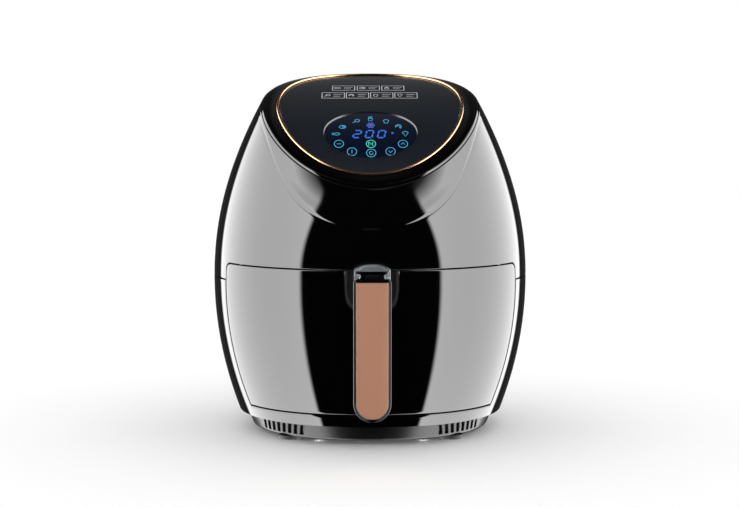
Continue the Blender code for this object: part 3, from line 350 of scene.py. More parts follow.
def walled(outer, inner):
    """Points and faces of a patch of wall, closed along all four of its edges."""
    rows, columns = outer.shape[:2]
    grid = np.concatenate([outer, inner[::-1]])
    step = np.arange(rows - 1)
    strip = np.stack([step, step + 1, 2 * rows - 2 - step, 2 * rows - 1 - step], axis=1) * columns
    return grid, [grid_faces(2 * rows, columns, False, True), strip, (strip + columns - 1)[:, ::-1]]


def walled_ring(outer, inner):
    """Points and faces of a wall that goes all the way round."""
    return looped(np.concatenate([outer, inner[::-1]]))


def skin_wall(z, turn, edge):
    """Points and faces of a patch of the body's wall, rounded over where the distance to
    its edge is short."""
    return walled(egg_skin(z, turn, round_over(edge, EDGE_ROUND)), egg_skin(z, turn, WALL))


z = BASE_HIGH[2] + (SPLIT_Z - BASE_HIGH[2]) * eased(56)[:, None]
across = eased(300, near=0.004)[None, :]
first = drawer_turn(z) + SEAM_HALF_GAP / BELLY_HALF_WIDTH * (z > DRAWER_BOTTOM_Z)
turn = first + (2 * np.pi - 2 * first) * across
from_side = (np.pi - np.abs(turn - np.pi) - first) * BELLY_HALF_WIDTH + (z < DRAWER_BOTTOM_Z)
edge = np.minimum(SPLIT_Z - z, from_side)
new_piece("lower_body_wrap", *skin_wall(z, turn, edge),
          "housing", "gloss_black", gloss_black, ("lower_housing",))

sill_top = DRAWER_BOTTOM_Z - 2 * SEAM_HALF_GAP
z = BASE_HIGH[2] + (sill_top - BASE_HIGH[2]) * eased(10, near=0.02)[:, None]
turn = drawer_turn(z) * np.linspace(-1, 1, 160)[None, :]
new_piece("lower_body_sill", *skin_wall(z, turn, sill_top - z), "housing", "gloss_black", gloss_black)

# ------------------------------ upper housing
# The upper half is one glossy moulding that comes down over the drawer, with a soft
# roll round its shoulder that fades out at the sides.
CORNER_RADIUS = 0.0080
ROLL_SIDE_Z = 0.3180
ROLL_DROP = 0.0740
ROLL_WIDTH = 0.0260
ROLL_RISE = 0.0015
ROLL_SINK = 0.0007
ROLL_LEAST_WIDTH = 0.001
ROLL_STEEPNESS = 0.12
ROLL_FADE_START = 0.05
ROLL_FADE_SPAN = 0.35
GROOVE_WIDTH = 0.0022
RIM_DROP = 0.0004


def shoulder_roll(z, turn):
    """How far the skin stands out at the shoulder: a bead that rises steeply from a
    narrow groove and eases away above it. Both run lowest and widest in front, by
    powers of the cosine of the turn."""
    front = np.maximum(np.cos(turn), 1e-3)
    groove = ROLL_SIDE_Z - ROLL_DROP * front ** 3.5
    part = np.clip((z - groove) / (ROLL_WIDTH * front ** 2 + ROLL_LEAST_WIDTH), 0, 1)
    fade = np.clip((np.cos(turn) - ROLL_FADE_START) / ROLL_FADE_SPAN, 0, 1)
    bead = ROLL_RISE * part / (part + ROLL_STEEPNESS) * (1 - part) ** 2
    return fade * (bead - ROLL_SINK * np.exp(-((z - groove) / GROOVE_WIDTH) ** 2))


# Columns crowd into the drawer's corners and stand close to its edges on both sides.
edge_turn = float(drawer_turn(np.array(SPLIT_Z)))
corner_span = CORNER_RADIUS / BELLY_HALF_WIDTH
close = edge_turn - corner_span * (1 - np.cos(np.linspace(0, np.pi / 2, 12)))
beside = edge_turn + np.array([-3e-4, 3e-4, 0.003, 0.006])
even = np.linspace(-np.pi, np.pi, 380, endpoint=False)
turns = np.unique(np.concatenate([even, close, -close, beside, -beside]).round(6))[None, :]
into_corner = np.clip(1 - (edge_turn - np.abs(turns)) / corner_span, 0, 1)
over_drawer = DRAWER_TOP_Z + 2 * SEAM_HALF_GAP - CORNER_RADIUS * (1 - np.sqrt(1 - into_corner ** 2))
lowest = np.where(np.abs(turns) < edge_turn, over_drawer, SPLIT_Z + SEAM_HALF_GAP)
rim_z = SEAM_Z - RIM_DROP
z = lowest + (rim_z - lowest) * eased(176)[:, None]
edge = np.minimum(z - lowest, rim_z - z)
inset = round_over(edge, EDGE_ROUND) - shoulder_roll(z, turns)
inner_rows = np.unique(np.concatenate([np.arange(0, len(z), 12), [len(z) - 1]]))
inside = egg_skin(z[inner_rows], turns, WALL + ROLL_SINK)
new_piece("upper_body", *walled_ring(egg_skin(z, turns, inset), inside),
          "housing", "gloss_black", gloss_black, ("upper_housing",))

# ------------------------------ bezel and trim ring
# A glossy collar clips into the top of the body, and a bright ring in a copper-gold
# plate is pressed in between the collar and the touch panel.
TOP_SLOPE = 0.528
TOP_Z = 0.3205
BEZEL_RISE = 0.0015
BEZEL_CROWN = 0.0009
CROWN_LEAN = 0.75
BEZEL_DEPTH = 0.010
RING_RADIUS = 0.0915
RING_HALF_WIDTH = 0.0016
RING_LIFT = 0.0005
RING_FLATNESS = 0.8
BEZEL_GAP = 0.0007
BEZEL_EDGE = 0.0018
SEAM_BLEND = 1.3
seam_half_width = float(half_width(np.array(SEAM_Z)))
top_turns = np.linspace(-np.pi, np.pi, 256, endpoint=False)[None, :]


def top_surface(y):
    """Height of the tilted top at a distance from the axis: the same bend as the seam,
    with its own slope."""
    run = y - TOP_CENTRE_Y
    return TOP_Z + TOP_SLOPE * run - TOP_BEND * run ** 2


def on_top(x, run, lift=0.0, seam_share=0.0):
    """Points over the tilted top at x and a run back from its middle, lifted above the
    panel's surface, or above a share of the way down to the seam's surface."""
    y = TOP_CENTRE_Y + run
    z = top_surface(y) + seam_share * (seam_surface(y) - top_surface(y)) + lift
    return np.stack(np.broadcast_arrays(x, y + AXIS_Y, z), axis=-1)


share = np.concatenate([np.linspace(0, 1, 40), [1.0, 0.5]])[:, None]
crown = BEZEL_RISE * share + BEZEL_CROWN * np.sin(np.pi * share ** CROWN_LEAN)
crown = crown - round_over(share * (seam_half_width - RING_RADIUS), BEZEL_EDGE)
crown[-2:] = -BEZEL_DEPTH
outer_x, outer_y = seam_half_width - BEZEL_GAP, SEAM_HALF_DEPTH - BEZEL_GAP
inner = RING_RADIUS + RING_HALF_WIDTH
reach_x = outer_x + (inner - outer_x) * share
reach_y = outer_y + (inner - outer_y) * share
seam_share = (1 - share) ** SEAM_BLEND
collar = on_top(reach_x * np.sin(top_turns), -reach_y * np.cos(top_turns), crown, seam_share)
under = on_top(outer_x * np.sin(top_turns), -outer_y * np.cos(top_turns), -BEZEL_DEPTH, 1.0)
new_piece("top_collar", *looped(np.concatenate([collar, under])), "housing", "gloss_black",
          gloss_black, ("top_bezel",))

# Shared effect: brushed or drawn metal. Noise stretched along one direction gives fine
# lines for bump and gloss.
brushed = bpy.data.node_groups.new("drawn metal", "ShaderNodeTree")
socket(brushed, "Stretch", "Vector", default=(1, 1, 1))
socket(brushed, "Roughness", "Float", default=0.3)
socket(brushed, "Spread", "Float", default=0.1)
socket(brushed, "Height", "Float", output=True)
socket(brushed, "Roughness", "Float", output=True)
given, result = group_ends(brushed)
place = add(brushed, "TexCoord").outputs["Object"]
pulled = add(brushed, "VectorMath", operation="MULTIPLY", inputs={0: place, 1: given.outputs["Stretch"]})
lines = add(brushed, "TexNoise", inputs={"Vector": pulled.outputs[0], "Scale": 1.0, "Detail": 4.0})
brushed.links.new(lines.outputs[0], result.inputs["Height"])
brushed.links.new(varied(brushed, lines.outputs[0], given), result.inputs["Roughness"])


def metal(name, color, roughness, stretch, bump, spread=0.1, dust_amount=0.05, metallic=1.0):
    """A metal finish with lines drawn along the axis that is stretched least."""
    settings = {"Stretch": stretch, "Roughness": roughness, "Spread": spread}
    return textured(name, color, brushed, settings, bump, dust_amount, Metallic=metallic)


gold_trim = metal("copper-gold trim", (0.40, 0.235, 0.13), 0.20, (900, 900, 900), 0.000004)
bend = np.linspace(0, 2 * np.pi, 16, endpoint=False)[:, None]
radius = RING_RADIUS + RING_HALF_WIDTH * np.cos(bend)
lift = RING_LIFT + RING_FLATNESS * RING_HALF_WIDTH * np.sin(bend)
ring = on_top(radius * np.sin(top_turns), -radius * np.cos(top_turns), lift)
new_piece("trim_ring", *looped(ring), "housing", "gold_trim", gold_trim, ("gold_trim_ring",))

# ------------------------------ touch panel and display
# A satin smoked panel fills the ring, with an oval window let into its front half. The
# window is dark glass over a lit display.
PANEL_RADIUS = RING_RADIUS - RING_HALF_WIDTH
PANEL_THICKNESS = 0.0028
LENS_HALF_WIDTH = 0.0455
LENS_HALF_DEPTH = 0.0310
LENS_RUN = -0.0424
LENS_SINK = 0.0012
LENS_BEVEL = 0.0008
LENS_THICKNESS = 0.0018
PANEL_EDGE = 0.0006
PANEL_EDGE_SPAN = 0.02
WINDOW_STEP = 0.0004
PRINT_LIFT = 0.00012

smoked_panel = plastic("smoked panel", (0.0035, 0.006, 0.0105), 0.24, 3800.0, 0.000010, 0.06,
                       spread=0.10)
display_glass = plastic("display glass", (0.003, 0.006, 0.016), 0.07, 500.0, 0.0000006, 0.006,
                        spread=0.02)

share = np.concatenate([[0.0], np.linspace(0, 1, 44), [1.0, 1.0]])[:, None]
drop = round_over(share * PANEL_EDGE_SPAN, PANEL_EDGE)
drop[0] = PANEL_THICKNESS
drop[-2:, 0] = LENS_SINK + WINDOW_STEP, PANEL_THICKNESS
grow = np.zeros_like(share)
grow[-2:] = -LENS_BEVEL
reach_x = PANEL_RADIUS + (LENS_HALF_WIDTH - PANEL_RADIUS) * share + grow
reach_y = PANEL_RADIUS + (LENS_HALF_DEPTH - PANEL_RADIUS) * share + grow
panel = on_top(reach_x * np.sin(top_turns), LENS_RUN * share - reach_y * np.cos(top_turns), -drop)
new_piece("touch_panel", *looped(panel), "housing", "smoked_panel", smoked_panel, ("control_panel",), 28)

share = np.concatenate([[0.5, 1.0], np.linspace(1, 0.02, 24)])[:, None]
drop = np.full_like(share, LENS_SINK)
drop[:2] += LENS_THICKNESS
reach_x, reach_y = (LENS_HALF_WIDTH - LENS_BEVEL) * share, (LENS_HALF_DEPTH - LENS_BEVEL) * share
lens = on_top(reach_x * np.sin(top_turns), LENS_RUN - reach_y * np.cos(top_turns), -drop)
new_piece("display_window", *capped(lens), "housing", "display_glass", display_glass, ("display_lens",))


def arc(radius, start=0, stop=360, middle=(0, 0), squash=1.0):
    """A circle or part of one, or an ellipse, as points."""
    angle = np.radians(np.linspace(start, stop, 28))
    return np.stack([middle[0] + radius * np.cos(angle),
                     middle[1] + radius * squash * np.sin(angle)], axis=1)


def line(*places):
    """A bent line through the places given."""
    return np.array(places, dtype=float)


def strokes(paths, width, lift):
    """Points and faces of flat strokes on the tilted top: each path, in metres across and
    back from the middle of the top, is given half the width to each side."""
    points, faces, start = [], [], 0
    for path in paths:
        along = np.gradient(path, axis=0)
        along /= np.linalg.norm(along, axis=1, keepdims=True) + 1e-12
        side = np.stack([-along[:, 1], along[:, 0]], axis=1) * width / 2
        both = np.stack([path - side, path + side], axis=1).reshape(-1, 2)
        points.append(on_top(both[:, 0], both[:, 1], lift))
        step = start + 2 * np.arange(len(path) - 1)
        faces.append(np.stack([step, step + 2, step + 3, step + 1], axis=1))
        start += len(both)
    return np.concatenate(points), [np.concatenate(faces)]


def glowing(name, color, strength):
    """A lit display colour, a little uneven as backlit print is."""
    made = bpy.data.materials.new(name)
    made.use_nodes = True
    tree = made.node_tree
    principled = tree.nodes["Principled BSDF"]
    principled.inputs["Base Color"].default_value = (*(0.05 * part for part in color), 1)
    principled.inputs["Roughness"].default_value = 0.4
    principled.inputs["Emission Strength"].default_value = strength
    place = add(tree, "TexCoord").outputs["Object"]
    uneven = add(tree, "TexNoise", inputs={"Vector": place, "Scale": 260.0})
    tint = add(tree, "MapRange", inputs={0: uneven.outputs[0], 3: 0.75, 4: 1.1})
    shade = add(tree, "VectorMath", operation="SCALE", inputs={0: color, "Scale": tint.outputs[0]})
    tree.links.new(shade.outputs[0], principled.inputs["Emission Color"])
    return made


blue_light = glowing("blue segments", (0.018, 0.13, 0.66), 1.2)
cyan_light = glowing("cyan marks", (0.06, 0.42, 0.68), 1.25)
green_light = glowing("green mark", (0.05, 0.60, 0.48), 1.25)
red_light = glowing("red mark", (0.85, 0.05, 0.04), 1.2)

FISH = [arc(0.8, middle=(0.15, 0), squash=0.5), line((-0.6, 0), (-1, 0.4), (-1, -0.4), (-0.6, 0))]
STEAK = [arc(0.85, squash=0.7), arc(0.3, middle=(0.25, 0.1))]
DRUMSTICK = [arc(0.6, middle=(0.3, 0.2), squash=0.85), line((-0.2, -0.2), (-0.9, -0.7))]
FRIES = [line((-0.6, 0.1), (-0.45, -0.9), (0.45, -0.9), (0.6, 0.1), (-0.6, 0.1)),
         line((-0.3, 0.1), (-0.4, 0.9)), line((0, 0.1), (0, 1)), line((0.3, 0.1), (0.4, 0.9))]
MUFFIN = [line((-0.6, 0), (-0.4, -0.8), (0.4, -0.8), (0.6, 0)), arc(0.7, 0, 180, (0, 0), 0.9)]
PRAWN = [arc(0.75, -60, 200), arc(0.4, -60, 200)]
SLICE = [line((-0.8, 0.6), (0, -0.9), (0.8, 0.6)), arc(0.85, 40, 140, (0, 0.05))]


def drawn(marks, middle, size):
    """A mark's paths moved and scaled to a place on the top."""
    return [np.array(middle) + size * path for path in marks]


ICON_RUNS = [(-0.0334, -0.0432, FISH), (-0.0272, -0.0335, STEAK), (-0.0140, -0.0250, DRUMSTICK),
             (0.0, -0.0212, FRIES), (0.0153, -0.0250, MUFFIN), (0.0272, -0.0330, PRAWN),
             (0.0337, -0.0432, SLICE)]
BUTTON_RUNS = [(-0.0305, -0.0558), (-0.0180, -0.0650), (0.0004, -0.0666), (0.0189, -0.0648),
               (0.0310, -0.0558)]
FAN_PLACE = (0.0002, -0.0312)
START_PLACE = (0.0003, -0.0558)
TIMER_PLACE = (0.0212, -0.0420)
ICON_SIZE = 0.0037
BUTTON_SIZE = 0.0045
FAN_SIZE = 0.0029
TIMER_SIZE = 0.0008
DOT_RADIUS = 0.0005
ICON_STROKE = 0.00055
MARK_STROKE = 0.0007
DIGIT_STROKE = 0.0015
DOT_STROKE = 0.0010
WINDOW_LIFT = PRINT_LIFT - LENS_SINK
paths = [path for x, run, mark in ICON_RUNS for path in drawn(mark, (x, run), ICON_SIZE)]
signs = [line((-0.45, 0), (0.45, 0)), line((0, -0.45), (0, 0.45)), arc(0.4, 60, 360),
         line((-0.4, 0.2), (0, -0.35), (0.4, 0.2)), line((-0.4, -0.2), (0, 0.35), (0.4, -0.2))]
for (x, run), sign in zip(BUTTON_RUNS, signs):
    paths += drawn([arc(1.0), sign], (x, run), BUTTON_SIZE)
new_piece("lit_icons", *strokes(paths, ICON_STROKE, WINDOW_LIFT),
          "housing", "display_glass", cyan_light)

# The temperature is three digits of slanted segments, each with a small gap at its ends.
SEGMENTS = {"top": (0, 2, 1, 2), "middle": (0, 1, 1, 1), "bottom": (0, 0, 1, 0),
            "high_left": (0, 1, 0, 2), "low_left": (0, 0, 0, 1),
            "high_right": (1, 1, 1, 2), "low_right": (1, 0, 1, 1)}
TWO = ("top", "high_right", "middle", "low_left", "bottom")
ZERO = ("top", "high_left", "high_right", "low_left", "low_right", "bottom")
DIGITS_X, DIGITS_RUN = -0.0172, -0.0480
DIGIT_WIDTH, DIGIT_HALF_HEIGHT, DIGIT_STEP = 0.0066, 0.0047, 0.0118
DIGIT_SLANT = 0.22
SEGMENT_GAP = 0.12
cell = np.array([DIGIT_WIDTH, DIGIT_HALF_HEIGHT])
paths = []
for number, lit in enumerate((TWO, ZERO, ZERO)):
    for name in lit:
        ends = np.array(SEGMENTS[name]).reshape(2, 2) * cell
        ends = ends[0] + (ends[1] - ends[0]) * np.array([[SEGMENT_GAP], [1 - SEGMENT_GAP]])
        ends[:, 0] += DIGIT_SLANT * ends[:, 1] + number * DIGIT_STEP + DIGITS_X
        ends[:, 1] += DIGITS_RUN
        paths.append(ends)
new_piece("lit_digits", *strokes(paths, DIGIT_STROKE, WINDOW_LIFT),
          "housing", "display_glass", blue_light)

petals = [arc(0.34, middle=(math.cos(a), math.sin(a))) for a in np.radians(range(0, 360, 60))]
paths = drawn(petals, FAN_PLACE, FAN_SIZE)
paths += drawn([arc(1.0), line((-0.5, 0.6), (-0.5, -0.6))], TIMER_PLACE, TIMER_SIZE)
new_piece("lit_fan", *strokes(paths, MARK_STROKE, WINDOW_LIFT), "housing", "display_glass", blue_light)
new_piece("lit_dot", *strokes([arc(DOT_RADIUS, middle=FAN_PLACE)], DOT_STROKE, WINDOW_LIFT),
          "housing", "display_glass", red_light)
play = [arc(1.0), line((-0.5, 0.5), (-0.5, -0.5), (0.1, 0), (-0.5, 0.5)),
        line((0.35, 0.5), (0.35, -0.5))]
new_piece("lit_start", *strokes(drawn(play, START_PLACE, BUTTON_SIZE), MARK_STROKE, WINDOW_LIFT),
          "housing", "display_glass", green_light)

# The presets are printed on the panel in silver: a box for each, with a food mark and
# two short rules in place of words.
silver_print = plastic("silver print", (0.55, 0.57, 0.60), 0.45, 3000.0, 0.00001, 0.05)
BOX_HALF_WIDTH, BOX_HALF_HEIGHT = 0.0112, 0.0062
PRESET_ROWS = [(0.0380, (-0.0264, -0.0014, 0.0234)), (0.0198, (-0.0367, -0.0124, 0.0119, 0.0362))]
PRESET_MARK_X, PRESET_MARK_SIZE = -0.0062, 0.0034
RULE_START = 0.0002
RULES = [(0.002, 0.009), (-0.002, 0.007)]
PRINT_STROKE = 0.00065
marks = iter([FISH, STEAK, FRIES, DRUMSTICK, PRAWN, MUFFIN, SLICE])
paths = []
for run, places in PRESET_ROWS:
    low, high = run - BOX_HALF_HEIGHT, run + BOX_HALF_HEIGHT
    for x in places:
        left, right = x - BOX_HALF_WIDTH, x + BOX_HALF_WIDTH
        corners = [(left, low), (right, low), (right, high), (left, high)]
        paths += [line(*ends) for ends in zip(corners, corners[1:] + corners[:1])]
        paths += drawn(next(marks), (x + PRESET_MARK_X, run), PRESET_MARK_SIZE)
        paths += [line((x + RULE_START, run + up), (x + stop, run + up)) for up, stop in RULES]
new_piece("preset_print", *strokes(paths, PRINT_STROKE, PRINT_LIFT),
          "housing", "smoked_panel", silver_print)

# ------------------------------ drawer front and pocket
# The drawer's front is a glossy wall with rounded upper corners, cut away in the middle
# round a dark pocket that makes room for the fingers behind the grip.
POCKET_LOW, POCKET_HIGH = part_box("handle_pocket")
POCKET_STRAIGHT_Z = 0.1500
POCKET_GAP = 0.0003
POCKET_POWER = 0.8
OUTLINE_STEPS = 28


def pocket_outline(half, low):
    """Half of the pocket's rounded end, from its lowest point out and up to its straight
    side: a quarter of an oval whose sine and cosine are raised to the power 0.8."""
    angle = np.linspace(np.pi / 2, 0, OUTLINE_STEPS)
    x = half * np.cos(angle) ** POCKET_POWER
    return x, POCKET_STRAIGHT_Z - (POCKET_STRAIGHT_Z - low) * np.sin(angle) ** POCKET_POWER


# Columns follow the pocket's outline, then crowd at its side, at the drawer's corner and
# at the drawer's edge.
opening = POCKET_HIGH[0] + POCKET_GAP
opening_x, opening_z = pocket_outline(opening, POCKET_LOW[2] - POCKET_GAP)
middle_turn = np.arcsin(np.clip(opening_x / BELLY_HALF_WIDTH, 0, 1) ** (BELLY_SQUARENESS / 2))
widest = middle_turn[-1]
edge_share = SEAM_HALF_GAP / BELLY_HALF_WIDTH
outward = np.concatenate([
    middle_turn[:-1], [widest - 2e-4, widest + 2e-4], widest + np.linspace(0.0012, 0.02, 6),
    np.linspace(widest + 0.03, edge_turn - corner_span, 90), close[::-1],
    edge_turn - 0.004 * np.array([0.7, 0.4, 0.2, 0.05, 0.0])])
outward = np.unique(np.clip(outward, 0, edge_turn).round(6)) / edge_turn
fraction = np.concatenate([-outward[:0:-1], outward])[None, :]
flat_x = BELLY_HALF_WIDTH * np.sin(np.abs(fraction) * edge_turn) ** (2 / BELLY_SQUARENESS)
into_corner = np.clip(1 - (1 - np.abs(fraction)) * edge_turn / corner_span, 0, 1)
highest = DRAWER_TOP_Z - CORNER_RADIUS * (1 - np.sqrt(1 - into_corner ** 2))
pocket_z = np.interp(flat_x, opening_x, opening_z)
in_pocket = flat_x < opening
highest = np.where(in_pocket, pocket_z, highest)
z = DRAWER_BOTTOM_Z + (highest - DRAWER_BOTTOM_Z) * eased(90)[:, None]
edge = np.minimum(z - DRAWER_BOTTOM_Z, highest - z)
edge = np.minimum(edge, (1 - np.abs(fraction)) * edge_turn * BELLY_HALF_WIDTH)
beside_pocket = np.where(in_pocket | (z < POCKET_STRAIGHT_Z), 1.0, flat_x - opening)
edge = np.minimum(edge, beside_pocket)
turn = fraction * (drawer_turn(z) - edge_share)
new_piece("drawer_face", *skin_wall(z, turn, edge),
          "drawer", "gloss_black", gloss_black, ("drawer_front",))

pocket_black = plastic("pocket black", (0.030, 0.030, 0.032), 0.38, 2600.0, 0.00003, 0.08)

# ------------------------------ pan and basket
# The pan is a drawn tub with a non-stick coating and a rolled rim. The basket inside
# it is a thin coated tub pierced with rows of round holes.
nonstick = plastic("non-stick coating", (0.028, 0.028, 0.030), 0.34, 1400.0, 0.00006, 0.10,
                   spread=0.12, Metallic=0.35)
BASKET_LOW, BASKET_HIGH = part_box("basket")
PAN_SQUARENESS = 3.0
PAN_FLOOR_HALF = 0.1000
PAN_WALL = 0.0012
PAN_FLANGE = 0.0045
PAN_FOOT = 0.010
BASKET_FLOOR_HALF = 0.0945
BASKET_WALL = 0.0010
BASKET_FLANGE = 0.0022
BASKET_FOOT = 0.012
RIM_ROLL = 0.8
LEAST_HALF = 0.0005
TUB_TURNS = np.linspace(-np.pi, np.pi, 200, endpoint=False)[None, :]


def tub_rings(half, z, centre_y):
    """Rounded-square rings: a squircle with exponent three at each half width and height."""
    power = 2 / PAN_SQUARENESS
    x = half * np.sign(np.sin(TUB_TURNS)) * np.abs(np.sin(TUB_TURNS)) ** power
    y = centre_y - half * np.sign(np.cos(TUB_TURNS)) * np.abs(np.cos(TUB_TURNS)) ** power
    return np.stack(np.broadcast_arrays(x, y, z), axis=-1)


def tub(box, floor_half, wall, flange, foot_round):
    """Rings of a tub that fills a box: from the middle of its underside out, up, over a
    rolled rim and back down inside. The foot is a quarter circle."""
    low, rim, top_half = box[0][2], box[1][2], box[1][0] - flange
    bend = np.linspace(0, np.pi / 2, 9)
    z_out = np.concatenate([[low] * 3, low + foot_round * (1 - np.cos(bend)),
                            np.linspace(low + foot_round, rim, 26)[1:]])
    half_out = floor_half + (top_half - floor_half) * (z_out - low) / (rim - low)
    half_out[:3] = (floor_half - foot_round) * np.array([0.02, 0.5, 0.9])
    half_out[3:12] += -foot_round + foot_round * np.sin(bend)
    roll = np.linspace(-np.pi / 2, np.pi / 2, 9)
    roll_radius = wall * RIM_ROLL
    rim_z = rim - roll_radius + roll_radius * np.sin(roll)
    rim_half = top_half + flange - roll_radius + roll_radius * np.cos(roll)
    z_in = np.clip(z_out[::-1], low + wall, rim)
    half_in = np.maximum((half_out - wall)[::-1], LEAST_HALF)
    half = np.concatenate([half_out, rim_half, half_in])[:, None]
    centre_y = (box[0][1] + box[1][1]) / 2
    return tub_rings(half, np.concatenate([z_out, rim_z, z_in])[:, None], centre_y)


new_piece("pan_tub", *capped(tub(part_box("pan"), PAN_FLOOR_HALF, PAN_WALL, PAN_FLANGE, PAN_FOOT)),
          "drawer", "nonstick_coating", nonstick, ("pan",))

# The basket's holes are see-through spots in its coating: in rows on the floor and, in a
# band clear of the rim and the foot, on each upright side.
pierced = nonstick.copy()
pierced.name = "pierced coating"
HOLE_PITCH = 0.0095
HOLE_RADIUS = 0.0026
RIM_BAND = 0.016
FOOT_BAND = 0.014
UPRIGHT = 0.80
LEVEL = 0.95
tree = pierced.node_tree
place = add(tree, "TexCoord").outputs["Object"]
axes = add(tree, "SeparateXYZ", inputs={0: place})
facing = add(tree, "SeparateXYZ", inputs={0: add(tree, "NewGeometry").outputs["Normal"]})


def to_hole(tree, along):
    """Distance along one axis from the nearest hole centre, holes one pitch apart."""
    moved = math_node(tree, "ADD", along, HOLE_PITCH / 2)
    turned = math_node(tree, "FLOORED_MODULO", moved, HOLE_PITCH)
    return math_node(tree, "SUBTRACT", turned, HOLE_PITCH / 2)


def hole_mask(tree, first, second):
    """1 in the sheet and 0 in a hole, from two distances to the hole's centre."""
    square = math_node(tree, "ADD", math_node(tree, "MULTIPLY", first, first),
                       math_node(tree, "MULTIPLY", second, second))
    return math_node(tree, "GREATER_THAN", square, HOLE_RADIUS ** 2)


across_x, across_y = to_hole(tree, axes.outputs["X"]), to_hole(tree, axes.outputs["Y"])
upward = to_hole(tree, axes.outputs["Z"])
floor_holes = hole_mask(tree, across_x, across_y)
side_holes = hole_mask(tree, across_y, upward)
end_holes = hole_mask(tree, across_x, upward)


def faces_along(tree, axis, least):
    """1 where the surface faces along an axis, either way, by more than the least share."""
    return math_node(tree, "GREATER_THAN", math_node(tree, "ABSOLUTE", facing.outputs[axis]), least)


below_rim = math_node(tree, "LESS_THAN", axes.outputs["Z"], BASKET_HIGH[2] - RIM_BAND)
above_foot = math_node(tree, "GREATER_THAN", axes.outputs["Z"], BASKET_LOW[2] + FOOT_BAND)
band = math_node(tree, "MULTIPLY", below_rim, above_foot)
on_sides = math_node(tree, "MULTIPLY", faces_along(tree, "X", UPRIGHT), band)
on_ends = math_node(tree, "MULTIPLY", faces_along(tree, "Y", UPRIGHT), band)
on_floor = faces_along(tree, "Z", LEVEL)
solid = 1.0
for where, holes in ((on_sides, side_holes), (on_ends, end_holes), (on_floor, floor_holes)):
    pierced_here = math_node(tree, "MULTIPLY", where, math_node(tree, "SUBTRACT", 1.0, holes))
    solid = math_node(tree, "MULTIPLY", solid, math_node(tree, "SUBTRACT", 1.0, pierced_here))
tree.links.new(solid, tree.nodes["Principled BSDF"].inputs["Alpha"])
basket = tub(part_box("basket"), BASKET_FLOOR_HALF, BASKET_WALL, BASKET_FLANGE, BASKET_FOOT)
new_piece("basket_tub", *capped(basket), "drawer", "nonstick_coating", pierced, ("basket",))

# ------------------------------ handle
# The grip is a glossy moulding with a round lower end. A copper-coloured inlay with a
# fine satin grain is set into its face, inside a thin raised frame.
GRIP_LOW, GRIP_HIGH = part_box("handle_shell")
INLAY_LOW, INLAY_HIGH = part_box("handle_inlay")
GRIP_HALF = GRIP_HIGH[0]
INLAY_HALF = INLAY_HIGH[0]
LOW_CENTRE_Z = GRIP_LOW[2] + GRIP_HALF
GRIP_EDGE = 0.0022
FRAME_EDGE = 0.0007
INLAY_SINK = 0.0020
INLAY_EDGE = 0.0006
GRIP_CORNER = 0.0028
LEAST_CORNER = 0.0006
RAIL_EASE = 0.0003


def grip_loop(half, top, corner):
    """A loop with a half circle below and two rounded corners above, as x and z."""
    below = np.linspace(np.pi, 2 * np.pi, 49)
    right = np.linspace(0, np.pi / 2, 10)
    x = np.concatenate([half * np.cos(below), half - corner + corner * np.cos(right),
                        -half + corner - corner * np.sin(right)])
    z = np.concatenate([LOW_CENTRE_Z + half * np.sin(below), top - corner + corner * np.sin(right),
                        top - corner + corner * np.cos(right)])
    return x, z


def grip_stack(steps):
    """Loops of the grip's outline, each drawn in by an inset, at each distance back."""
    rings = []
    for inset, y in steps:
        corner = max(GRIP_CORNER - inset, LEAST_CORNER)
        x, z = grip_loop(GRIP_HALF - inset, GRIP_HIGH[2] - inset, corner)
        rings.append(np.stack([x, np.full_like(x, y), z], axis=1))
    return np.array(rings)


bend = np.linspace(0, np.pi / 2, 8)
front, back = GRIP_LOW[1], GRIP_HIGH[1]
inner = GRIP_HALF - INLAY_HALF
rail = inner - RAIL_EASE
steps = [(GRIP_EDGE * (1 - math.sin(a)), back - GRIP_EDGE * (1 - math.cos(a))) for a in bend]
steps += [(FRAME_EDGE * (1 - math.cos(a)), front + FRAME_EDGE * (1 - math.sin(a))) for a in bend]
steps += [(rail - RAIL_EASE, front), (rail, front + RAIL_EASE), (rail, front + INLAY_SINK)]
new_piece("grip", *capped(grip_stack(steps)), "drawer", "gloss_black", gloss_black, ("handle_shell",))

copper_inlay = metal("satin copper inlay", (0.64, 0.315, 0.20), 0.36, (1500, 1500, 1500), 0.000022,
                     spread=0.16, dust_amount=0.04, metallic=0.45)
face_y, seat_y = INLAY_LOW[1], INLAY_HIGH[1]
steps = [(inner, seat_y)]
steps += [(inner + INLAY_EDGE * (1 - math.cos(a)), face_y + INLAY_EDGE * (1 - math.sin(a)))
          for a in bend]
new_piece("grip_inlay", *capped(grip_stack(steps)),
          "drawer", "copper_inlay", copper_inlay, ("handle_inlay",))

# ------------------------------ release guard
# A clear moulded cover slides over the release button. It has a thick thumb lens along
# its roof and a round boss in each lower corner.
clear_plastic = bpy.data.materials.new("clear plastic")
clear_plastic.use_nodes = True
tree = clear_plastic.node_tree
principled = tree.nodes["Principled BSDF"]
principled.inputs["Transmission Weight"].default_value = 0.92
principled.inputs["IOR"].default_value = 1.49
principled.inputs["Base Color"].default_value = (0.80, 0.84, 0.86, 1)
texture = add(tree, "Group", node_tree=grain, inputs={"Scale": 900.0, "Roughness": 0.05, "Spread": 0.05})
relief = add(tree, "Bump", inputs={"Distance": 0.000004, "Height": texture.outputs["Height"]})
tree.links.new(texture.outputs["Roughness"], principled.inputs["Roughness"])
tree.links.new(relief.outputs[0], principled.inputs["Normal"])
GUARD_LOW, GUARD_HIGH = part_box("button_guard")
GUARD_WALL = 0.0016
GUARD_CORNER = 0.0015
GUARD_END = 0.0004
GUARD_END_SIZE = 0.985
THUMB_RISE = 0.0028
THUMB_INSET = 0.0045
